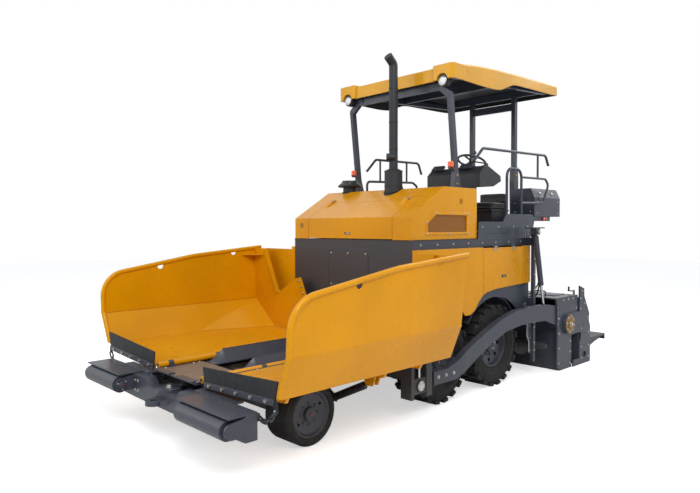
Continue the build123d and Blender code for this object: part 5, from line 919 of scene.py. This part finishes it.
def screed_fittings():
    bm = bmesh.new()
    for _, sign in SIDES:
        out = Vector((0, sign, 0))
        # bolts of the side plate, the arm's flange and the arm's front joint
        for x, z in SIDE_PLATE_BOLTS:
            add_bolt(bm, (x, sign * SCREED_FACE, z), out, 0.011)
        across = (sign * 1.122, sign * 1.240)
        add_bolts(bm, -1.8502, across, (0.63, 0.70, 0.77, 0.84), (-1, 0, 0), 0.012)
        add_bolts(bm, (0.687, 0.556, 0.423), sign * ARM_FACE, 0.372, out, 0.015)
        # weld bead along the arm and a lifting eye at its crown
        add_tube(bm, [(x, sign * 1.2275, z - 0.0035) for x, z in ARM_BEAD], 0.003, 0, 8)
        add_ring(bm, (-1.10, sign * 1.19, 0.945), (0, 1, 0), 0.026, 0.008, 0, sides=28)
        # scale and pointer on the side plate, both plain
        add_box(bm, (-2.345, sign * 1.2495, 0.500), (-2.305, sign * 1.2525, 0.700), 2, 0.001)
        add_box(bm, (-2.352, sign * 1.2520, 0.592), (-2.318, sign * 1.2550, 0.604), 3, 0.001)
        # grab handle on the cover
        add_tube(bm, [(x, sign * y, z) for x, y, z in GRAB_HANDLE], 0.009, 0, 12)
        # covers over the vibrators, with bolts
        for y in (0.32, 0.90):
            add_box(bm, (-2.34, sign * y - 0.20, SCREED_TOP), (-2.04, sign * y + 0.20, 0.9825), 0, 0.003)
            across = (sign * y - 0.18, sign * y + 0.18)
            add_bolts(bm, (-2.32, -2.06), across, 0.9823, UP, 0.008)
    # power box in the middle of the cover
    add_box(bm, (-2.30, -0.085, SCREED_TOP), (-2.06, 0.085, 1.070), 0, 0.010)
    for y in (-0.05, 0.0, 0.05):
        add_lathe(bm, (-2.3005, y, 1.025), (-1, 0, 0), cap(0.014, 0.012, 0.010, 0.014), 3, 24)
    # rear wall: ribs
    for k in range(9):
        y = -1.12 + k * 0.28
        add_box(bm, (-2.4235, y - 0.006, 0.47), (-2.4198, y + 0.006, 0.94), 0, 0.001)
    piece("screed_fittings", bm, "screed", ("slate", "bolt", "white", "knob"))
    for side, sign in SIDES:
        bm = bmesh.new()
        out = Vector((0, sign, 0))
        # disc of the sliding tube's flange with its ring of bolts and clamp nut
        centre = Vector((-2.110, sign * FLANGE_FACE, 0.605))
        add_lathe(
            bm, centre - out * 0.0005, out,
            [(0.128, 0), (0.128, 0.004), (0.122, 0.006), (0.062, 0.006), (0.060, 0.012), (0, 0.012)], 2, 56,
        )
        for at in spots_round(centre + out * 0.0055, 8, 0.102, 0.2):
            add_bolt(bm, at, out, 0.011)
        add_bolt(bm, centre + out * 0.0115, out, 0.028)
        # bolts of the end plate, the upright edge and the hole's collar
        plate_y = sign * END_FACE
        for x, z in END_PLATE_BOLTS:
            add_bolt(bm, (x, plate_y - sign * 0.0002, z), out, 0.011)
        add_ring(bm, (-2.600, plate_y, 0.130), out, 0.046, 0.004, 0, sides=40)
        # crank of the height setting, on a threaded spindle
        add_rod(
            bm, (-2.51, sign * 1.15, 0.925), (-2.51, sign * 1.15, 1.030), 0.016, 1, sides=20, rounding=0.001
        )
        add_rod(bm, (-2.51, sign * 1.15, 1.010), (-2.51, sign * 1.06, 1.010), 0.009, 1, sides=14)
        add_rod(
            bm, (-2.51, sign * 1.075, 1.012), (-2.51, sign * 1.075, 1.070), 0.013, 3, sides=18,
            rounding=0.004,
        )
        # control box on the upright plate, blank faced
        add_box(
            bm, (-2.70, sign * 1.03, 0.715), (-2.655, sign * 1.21, 0.862), 0, 0.006,
            Matrix.Rotation(radians(-33), 4, "Y"),
        )
        # edge bars of the step
        for y in (0.07, 0.66):
            for x in (-3.27, -2.83):
                add_box(bm, (x, sign * y, 0.3298), (x + 0.008, sign * (y + 0.55), 0.3338), 1, 0.001)
        add_bolts(bm, (-3.22, -2.86), (sign * 0.12, sign * 1.19), 0.330, UP, 0.009)
        piece(
            f"extension_fittings_{side}", bm, f"extension_{side}", ("slate", "bolt", "tan", "knob"),
        )
        bm = bmesh.new()
        at = Vector((0.98, sign * 1.244, 0.336))
        add_ring(bm, at, (0, sign, 0), 0.058, 0.004, 0, sides=40)
        add_lathe(
            bm, at - Vector((0, sign * 0.001, 0)), (0, sign, 0), [(0.050, 0), (0.050, 0.002), (0, 0.0025)],
            1, 32,
        )
        for spot in spots_round(at + Vector((0, sign * 0.0012, 0)), 4, 0.038, pi / 4):
            add_bolt(bm, spot, (0, sign, 0), 0.006, 2)
        piece(
            f"tow_slide_fittings_{side}", bm, f"tow_slide_{side}", ("chassis", "white", "bolt"),
        )


screed_fittings()


# ---- platform ------------------------------------------------------------------------------
def platform_fittings():
    bm = bmesh.new()
    # top of the desk: two blank panels, a screen, switches, knobs and a joystick
    slant = Vector((-0.280, 0, -0.110)).normalized()
    normal = Vector((-0.110, 0, 0.280)).normalized()
    middle = Vector((-0.780, 0, 2.600))

    def on_desk(down, y, lift=0.0):
        return middle + slant * down + normal * lift + Vector((0, y, 0))

    frame_turn = Matrix((slant, (0, 1, 0), normal)).transposed().to_4x4()
    if frame_turn.determinant() < 0:
        frame_turn = Matrix((slant, (0, -1, 0), normal)).transposed().to_4x4()

    def desk_box(down, y, size, lift, material, rounding=0.003):
        centre = on_desk(down, y, lift)
        half = Vector(size) / 2
        add_box(bm, centre - half, centre + half, material, rounding, frame_turn)

    desk_box(0.0, 0.555, (0.235, 0.72, 0.006), 0.003, 0)
    desk_box(-0.045, 0.30, (0.115, 0.165, 0.018), 0.010, 0, 0.006)
    desk_box(-0.045, 0.30, (0.092, 0.140, 0.004), 0.0205, 1, 0.001)
    for row in range(2):
        for k in range(7):
            desk_box(
                -0.065 + row * 0.045, 0.44 + k * 0.038, (0.024, 0.015, 0.012), 0.010,
                2 if (k + row) % 3 else 0,
            )
    for k in range(5):
        at = on_desk(0.065, 0.30 + k * 0.045, 0.005)
        add_lathe(
            bm, at, normal, [(0.013, 0), (0.012, 0.006), (0.011, 0.016), (0.008, 0.018), (0, 0.018)],
            2 + (k in (1, 3)) * 3, 20,
        )
    for k, colour in enumerate((3, 4, 4, 3, 5)):
        at = on_desk(-0.072, 0.735 + k * 0.022, 0.005)
        add_lathe(bm, at, normal, cap(0.007, 0.004, 0.004, 0.006), colour, 16)
    add_lathe(
        bm, on_desk(0.065, 0.86, 0.005), normal,
        [
            (0.021, 0), (0.021, 0.006), (0.014, 0.010), (0.014, 0.018), (0.020, 0.022), (0.020, 0.028),
            (0, 0.030),
        ],
        3, 28,
    )
    stick = on_desk(0.03, 0.80, 0.005)
    add_lathe(
        bm, stick, normal,
        [
            (0.030, 0), (0.028, 0.006), (0.020, 0.016), (0.010, 0.026), (0.008, 0.060), (0.014, 0.072),
            (0.017, 0.100), (0.015, 0.118), (0, 0.126),
        ],
        2, 28,
    )
    # hooded binnacle in front of the wheel and two stalks on the column
    for y in (0.30, 0.72):
        add_box(
            bm, (-0.560, y - 0.085, 2.636), (-0.475, y + 0.085, 2.668), 0, 0.008,
            Matrix.Rotation(radians(41), 4, "Y"),
        )
    column = HUB - COLUMN * 0.10
    for sign in (-1, 1):
        end = column + Vector((0.02, sign * 0.135, 0.01))
        add_rod(bm, column + Vector((0, sign * 0.02, 0)), end, 0.006, 2, sides=12)
        add_rod(bm, end, end + Vector((0, sign * 0.035, 0)), 0.009, 2, sides=14, rounding=0.002)
    # bolts of the pedestal
    add_bolts(bm, -0.5595, (0.392, 0.608), (2.02, 2.20, 2.34), AHEAD, 0.007, 6)
    # pedals
    for y in (0.42, 0.58):
        add_box(
            bm, (-0.835, y - 0.045, 1.905), (-0.823, y + 0.045, 2.01), 2, 0.003,
            Matrix.Rotation(radians(28), 4, "Y"),
        )
        add_rod(bm, (-0.825, y, 1.915), (-0.785, y, 1.870), 0.008, 6, sides=12)
    piece(
        "console_fittings", bm, "chassis", ("desk", "screen", "knob", "red", "green", "brass", "bolt"),
    )

    bm = bmesh.new()
    # foot flanges of the handrails, hinges and latches of the boxes
    left, right = RAIL_Y, -RAIL_Y
    for x, y in ((-1.080, left), (-1.430, left), (-0.500, right), (-1.600, right)):
        add_lathe(
            bm, (x, y, 1.8598), UP, [(0.034, 0), (0.034, 0.006), (0.020, 0.008), (0.0175, 0.014)], 0, 28
        )
    for x, y, z in (
        (-0.356, left, 2.690), (-2.138, left, 2.754), (-0.499, right, 2.705), (-1.707, right, 2.729)
    ):
        add_lathe(
            bm, (x, y, z + 0.003), (0, 0, -1),
            [(0.0178, -0.012), (0.0178, 0.004), (0.012, 0.008), (0, 0.009)], 3, 24,
        )
    for _, sign in SIDES:
        y_in, y_out = sorted((sign * 0.545, sign * 0.842))
        add_box(bm, (-2.566, y_in + 0.006, 2.4365), (-1.854, y_out - 0.004, 2.4405), 0, 0.002)
        for x in (-2.45, -1.97):
            add_box(bm, (x - 0.035, sign * 0.536, 2.400), (x + 0.035, sign * 0.549, 2.428), 1, 0.002)
        for x in (-2.38, -2.04):
            slanted = Matrix.Rotation(sign * radians(-65), 4, "X")
            add_box(
                bm, (x - 0.022, sign * 0.876 - 0.018, 2.372), (x + 0.022, sign * 0.876 + 0.018, 2.379), 1,
                0.002, slanted,
            )
        out = (0, sign, 0)
        add_bolts(bm, (-2.50, -1.93), sign * 0.8998, (2.10, 2.26), out, 0.009)
        add_bolts(bm, -1.8502, (sign * 0.60, sign * 0.84), (2.12, 2.24), AHEAD, 0.008)
        # bolts of the platform's edge plate and of the canopy posts' feet
        add_bolts(bm, (-0.50, -0.85, -1.20, -1.55), sign * 0.9698, 1.915, out, 0.008)
        add_bolts(bm, -0.185, sign * 0.8318, (2.42, 2.52), out, 0.013, 2)
        add_bolts(bm, -2.230, sign * 0.3978, (2.16, 2.30), out, 0.014)
        add_bolt(bm, (-2.230, sign * 0.3978, 2.66), out, 0.014, 2)
    # fuel cap with its ribs
    add_lathe(bm, (-1.30, -0.55, 1.8598), UP, cap(0.062, 0.016, 0.050, 0.026), 3, 36)
    for k in range(4):
        turn = k * pi / 4
        add_box(
            bm, (-1.305, -0.605, 1.884), (-1.295, -0.495, 1.890), 3, 0.002, Matrix.Rotation(turn, 4, "Z")
        )
    piece("platform_fittings", bm, "chassis", ("slate", "bolt", "brass", "knob"))

    bm = bmesh.new()
    # thicker grip round the wheel's rim, horn button and a knob on the rim
    add_ring(bm, HUB, COLUMN, 0.178, 0.0145, 0, sides=72, around=14)
    add_lathe(
        bm, HUB + COLUMN * 0.0178, COLUMN, [(0.030, 0), (0.030, 0.004), (0.022, 0.009), (0, 0.010)], 0, 32
    )
    side = COLUMN.orthogonal().normalized()
    knob = HUB + side * 0.178 + COLUMN * 0.012
    add_lathe(
        bm, knob, COLUMN,
        [(0.008, 0), (0.008, 0.016), (0.020, 0.024), (0.022, 0.040), (0.014, 0.052), (0, 0.054)], 0, 28,
    )
    piece("wheel_grip", bm, "steering_wheel", ("knob",))


platform_fittings()


# ---- lamps and canopy fittings -------------------------------------------------------------
def lamp_fittings():
    bm = bmesh.new()
    for _, sign in SIDES:
        # headlamp: bezel and ribbed lens
        axis = Vector((1, 0, -0.04)).normalized()
        face = Vector((0.031, sign * 0.776, 3.590))
        add_lathe(
            bm, face, axis,
            [(0.0575, -0.006), (0.0575, 0.002), (0.0535, 0.006), (0.049, 0.004), (0.049, -0.002)], 0, 48,
        )
        add_lathe(
            bm, face - axis * 0.0005, axis, [(0.049, 0), (0.040, 0.004), (0.020, 0.0065), (0, 0.007)], 1, 48
        )
        # beacon: ribbed base and domed lens
        base = Vector((-0.098, sign * 0.800, 2.6055))
        add_lathe(bm, base, UP, [(0.036, 0), (0.036, 0.010), (0.033, 0.012)], 2, 40)
        add_lathe(
            bm, base, UP, [(0.0342, 0.010), (0.0352, 0.040), (0.0345, 0.060), (0.026, 0.072), (0, 0.076)],
            3, 40,
        )
        for k in range(4):
            add_ring(
                bm, base + Vector((0, 0, 0.018 + k * 0.012)), UP, 0.0350, 0.0012, 3, sides=40, around=6
            )
        # tail lamp: rim and two lenses
        add_box(bm, (-2.178, sign * 0.9045, 1.997), (-2.072, sign * 0.909, 2.048), 2, 0.002)
        for x, material in ((-2.150, 4), (-2.100, 3)):
            low, high = (x - 0.020, sign * 0.9085, 2.004), (x + 0.020, sign * 0.9125, 2.041)
            add_box(bm, low, high, material, 0.003)
    piece("lamp_fittings", bm, "chassis", ("bolt", "lens", "knob", "orange", "tail"))

    bm = bmesh.new()
    # pressed ribs on the roof and the ribs of its lining
    for y in (-0.60, -0.30, 0.0, 0.30, 0.60):
        add_tube(
            bm,
            [
                (x, y, roof_z(x, y) + 0.001)
                for x in (-0.16, -0.40, -0.62, -0.90, -1.19, -1.60, -1.93, -2.22)
            ],
            0.009, 0, 10,
        )
    for x in (-0.75, -1.65):
        add_box(
            bm, (x - 0.02, -0.78, roof_z(x, 0) - 0.045), (x + 0.02, 0.78, roof_z(x, 0) - 0.0165), 1, 0.003
        )
    # bolts through the roof over the frame
    for x, y in product((-0.078, -1.154, -2.230), (-0.68, 0.68)):
        add_bolt(bm, (x, y, roof_z(x, y)), UP, 0.011, 2)
    piece("canopy_fittings", bm, "chassis", ("canopy", "slate", "bolt"))


lamp_fittings()


# ---- hoses -----------------------------------------------------------------------------------
HOSES = (
    # name, diameter and the route behind the left lift cylinder, mirrored for the right
    ("lift_hose", 0.022, (
        (-1.512, 1.075, 1.62), (-1.60, 1.075, 1.60), (-1.67, 1.078, 1.42), (-1.69, 1.080, 1.24),
        (-1.64, 1.080, 1.08), (-1.56, 1.078, 1.00), (-1.512, 1.075, 0.99),
    )),
    ("tilt_hose", 0.018, (
        (-1.512, 1.095, 1.50), (-1.57, 1.095, 1.49), (-1.62, 1.100, 1.36), (-1.62, 1.102, 1.22),
        (-1.57, 1.098, 1.13), (-1.512, 1.095, 1.12),
    )),
)


def hose(name, route, diameter, sign):
    """A pressure hose on one smooth line between two fittings on the rear post."""
    curve = bpy.data.curves.new(name, "CURVE")
    curve.dimensions = "3D"
    spline = curve.splines.new("NURBS")
    spline.points.add(len(route) - 1)
    for point, (x, y, z) in zip(spline.points, route):
        point.co = (x, sign * y, z, 1.0)
    spline.order_u = 3
    spline.use_endpoint_u = True
    spline.resolution_u = 12
    obj = linked(name, curve)
    line = bpy.data.meshes.new_from_object(obj.evaluated_get(bpy.context.evaluated_depsgraph_get()))
    length = sum(
        (line.vertices[e.vertices[0]].co - line.vertices[e.vertices[1]].co).length for e in line.edges
    )
    bpy.data.meshes.remove(line)
    curve.bevel_depth = diameter / 2
    curve.bevel_resolution = 4
    curve.use_fill_caps = True
    curve.materials.append(MATS["hose"])
    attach(obj, "chassis")
    x, y, z = route[0]
    return length


for side, sign in SIDES:
    for name, diameter, route in HOSES:
        hose(f"{name}_{side}", route, diameter, sign)
    bm = bmesh.new()
    for _, diameter, route in HOSES:
        for end in (0, -1):
            x, y, z = route[end]
            at = Vector((x, sign * y, z))
            add_rod(
                bm, at + Vector((0.003, 0, 0)), at - Vector((0.022, 0, 0)), diameter * 0.72, 0, sides=6,
                rounding=0.001,
            )
            add_rod(
                bm, at - Vector((0.021, 0, 0)), at - Vector((0.045, 0, 0)), diameter * 0.62, 0, sides=20,
                rounding=0.001,
            )
    piece(f"hose_ends_{side}", bm, "chassis", ("bolt",))


# ---- seat ------------------------------------------------------------------------------------
def pad(name, low, high, crown, pinch, channels, along):
    """A crowned closed cushion whose sides pull in between its corners, with sewn channels across."""
    low, high = Vector(low), Vector(high)
    middle, half = (low + high) / 2, (high - low) / 2
    bm = bmesh.new()
    bmesh.ops.create_cube(bm, size=2.0)
    bmesh.ops.subdivide_edges(bm, edges=bm.edges, cuts=27, use_grid_fill=True)
    for vertex in bm.verts:
        p = vertex.co
        u = Vector(p)
        # rounded corners in plan and section
        for a, b in ((0, 1), (0, 2), (1, 2)):
            reach = (abs(u[a]) ** 6 + abs(u[b]) ** 6) ** (1 / 6)
            if reach > 1:
                u[a] /= reach
                u[b] /= reach
        bulge = (1 - u[0] ** 2) * (1 - u[1] ** 2)
        spot = Vector((middle.x + u.x * half.x, middle.y + u.y * half.y, middle.z + u.z * half.z))
        if u.z > -0.2:
            spot.z += crown * bulge * min(1.0, max(0.0, u.z + 0.2))
            place = (u[along] + 1) / 2 * channels
            depth = max(0.0, 1 - abs(place - round(place)) / 0.07) if 0 < round(place) < channels else 0.0
            spot.z -= 0.006 * depth * depth * min(1.0, max(0.0, u.z)) * min(
                1.0, (1 - abs(u[1 - along])) * 8
            )
        mid = (1 - abs(u.z)) * (1 - abs(u.z) ** 2)
        spot.x -= u.x * pinch * (1 - u[1] ** 2) * mid
        spot.y -= u.y * pinch * (1 - u[0] ** 2) * mid
        vertex.co = spot
    return linked(name, smooth_mesh(name, bm, ("vinyl",)))


def seat():
    low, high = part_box("seat_cushion")
    cushion = pad(
        "seat_pad", (low.x + 0.060, low.y + 0.002, low.z + 0.0005),
        (high.x - 0.002, high.y - 0.002, low.z + 0.088), 0.010, 0.010, 4, 0,
    )
    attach(cushion, "chassis")
    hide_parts("seat_cushion")
    back = pad(
        "seat_back", (low.x + 0.002, low.y + 0.022, low.z + 0.092),
        (low.x + 0.074, high.y - 0.022, high.z - 0.002), 0.0, 0.006, 3, 1,
    )
    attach(back, "chassis")
    z = low.z + 0.046
    x1, x2, y1, y2 = low.x + 0.066, high.x - 0.006, low.y + 0.008, high.y - 0.008
    bend = 0.045
    corners = (
        (x2 - bend, y2 - bend, 0), (x1 + bend, y2 - bend, 90), (x1 + bend, y1 + bend, 180),
        (x2 - bend, y1 + bend, 270),
    )
    loop = [
        (x + bend * cos(radians(a + t * 15)), y + bend * sin(radians(a + t * 15)), z)
        for x, y, a in corners for t in range(7)
    ]
    bm = bmesh.new()
    add_tube(bm, loop + loop[:2], 0.0035, 0, 8)
    piece("seat_piping", bm, "chassis", ("vinyl",))


seat()


# ---- floor, light and camera --------------------------------------------------------------------
def stage():
    bpy.ops.mesh.primitive_plane_add(size=60, location=(0, 0, -0.001))
    floor = bpy.context.object
    floor.name = "floor"
    pale = Shader("floor")
    seen = pale.add("ShaderNodeLightPath").outputs["Is Camera Ray"]
    pale.set(
        Base_Color=(0.90, 0.90, 0.90, 1.0), Roughness=0.9, Emission_Color=WHITE,
        Emission_Strength=pale.math("MULTIPLY", seen, 0.55),
    )
    floor.data.materials.append(pale.material)

    world = bpy.context.scene.world or bpy.data.worlds.new("sky")
    bpy.context.scene.world = world
    world.use_nodes = True
    sky = Nodes(world.node_tree)
    sky.tree.nodes.clear()
    ray = sky.add("ShaderNodeLightPath").outputs
    straight = sky.math("MAXIMUM", ray["Is Camera Ray"], ray["Is Glossy Ray"])
    straight = sky.math("MAXIMUM", straight, ray["Is Transmission Ray"])
    soft = sky.add("ShaderNodeBackground", {"Color": (0.93, 0.96, 1.0, 1.0), "Strength": 0.42}).outputs[0]
    plain = sky.add("ShaderNodeBackground", {"Color": WHITE, "Strength": 1.0}).outputs[0]
    mixed = sky.add("ShaderNodeMixShader", {0: straight, 1: soft, 2: plain}).outputs[0]
    sky.add("ShaderNodeOutputWorld", {"Surface": mixed})

    for name, place, size, power in (
        ("key", (5.5, 7.5, 9.0), 6.0, 740),
        ("fill", (9.0, -5.0, 6.0), 7.0, 260),
        ("back", (-8.0, 2.0, 8.0), 6.0, 300),
    ):
        lamp = bpy.data.lights.new(name, "AREA")
        lamp.size = size
        lamp.energy = power
        obj = linked(name, lamp)
        obj.location = place
        obj.rotation_euler = (Vector((0, 0, 1.2)) - Vector(place)).to_track_quat("-Z", "Y").to_euler()


def camera():
    lens = bpy.data.cameras.new("camera")
    lens.lens = 31.08
    lens.sensor_width = 36.0
    lens.clip_end = 200.0
    obj = linked("camera", lens)
    yaw, pitch, roll = radians(-134.214), radians(-1.916), radians(-0.164)
    ahead = Vector((cos(pitch) * cos(yaw), cos(pitch) * sin(yaw), sin(pitch)))
    turn = ahead.to_track_quat("-Z", "Y").to_matrix().to_4x4()
    obj.matrix_world = Matrix.Translation((5.649, 5.027, 1.929)) @ turn @ Matrix.Rotation(roll, 4, "Z")
    bpy.context.scene.camera = obj


stage()
camera()
bpy.context.scene.view_settings.view_transform = "Standard"
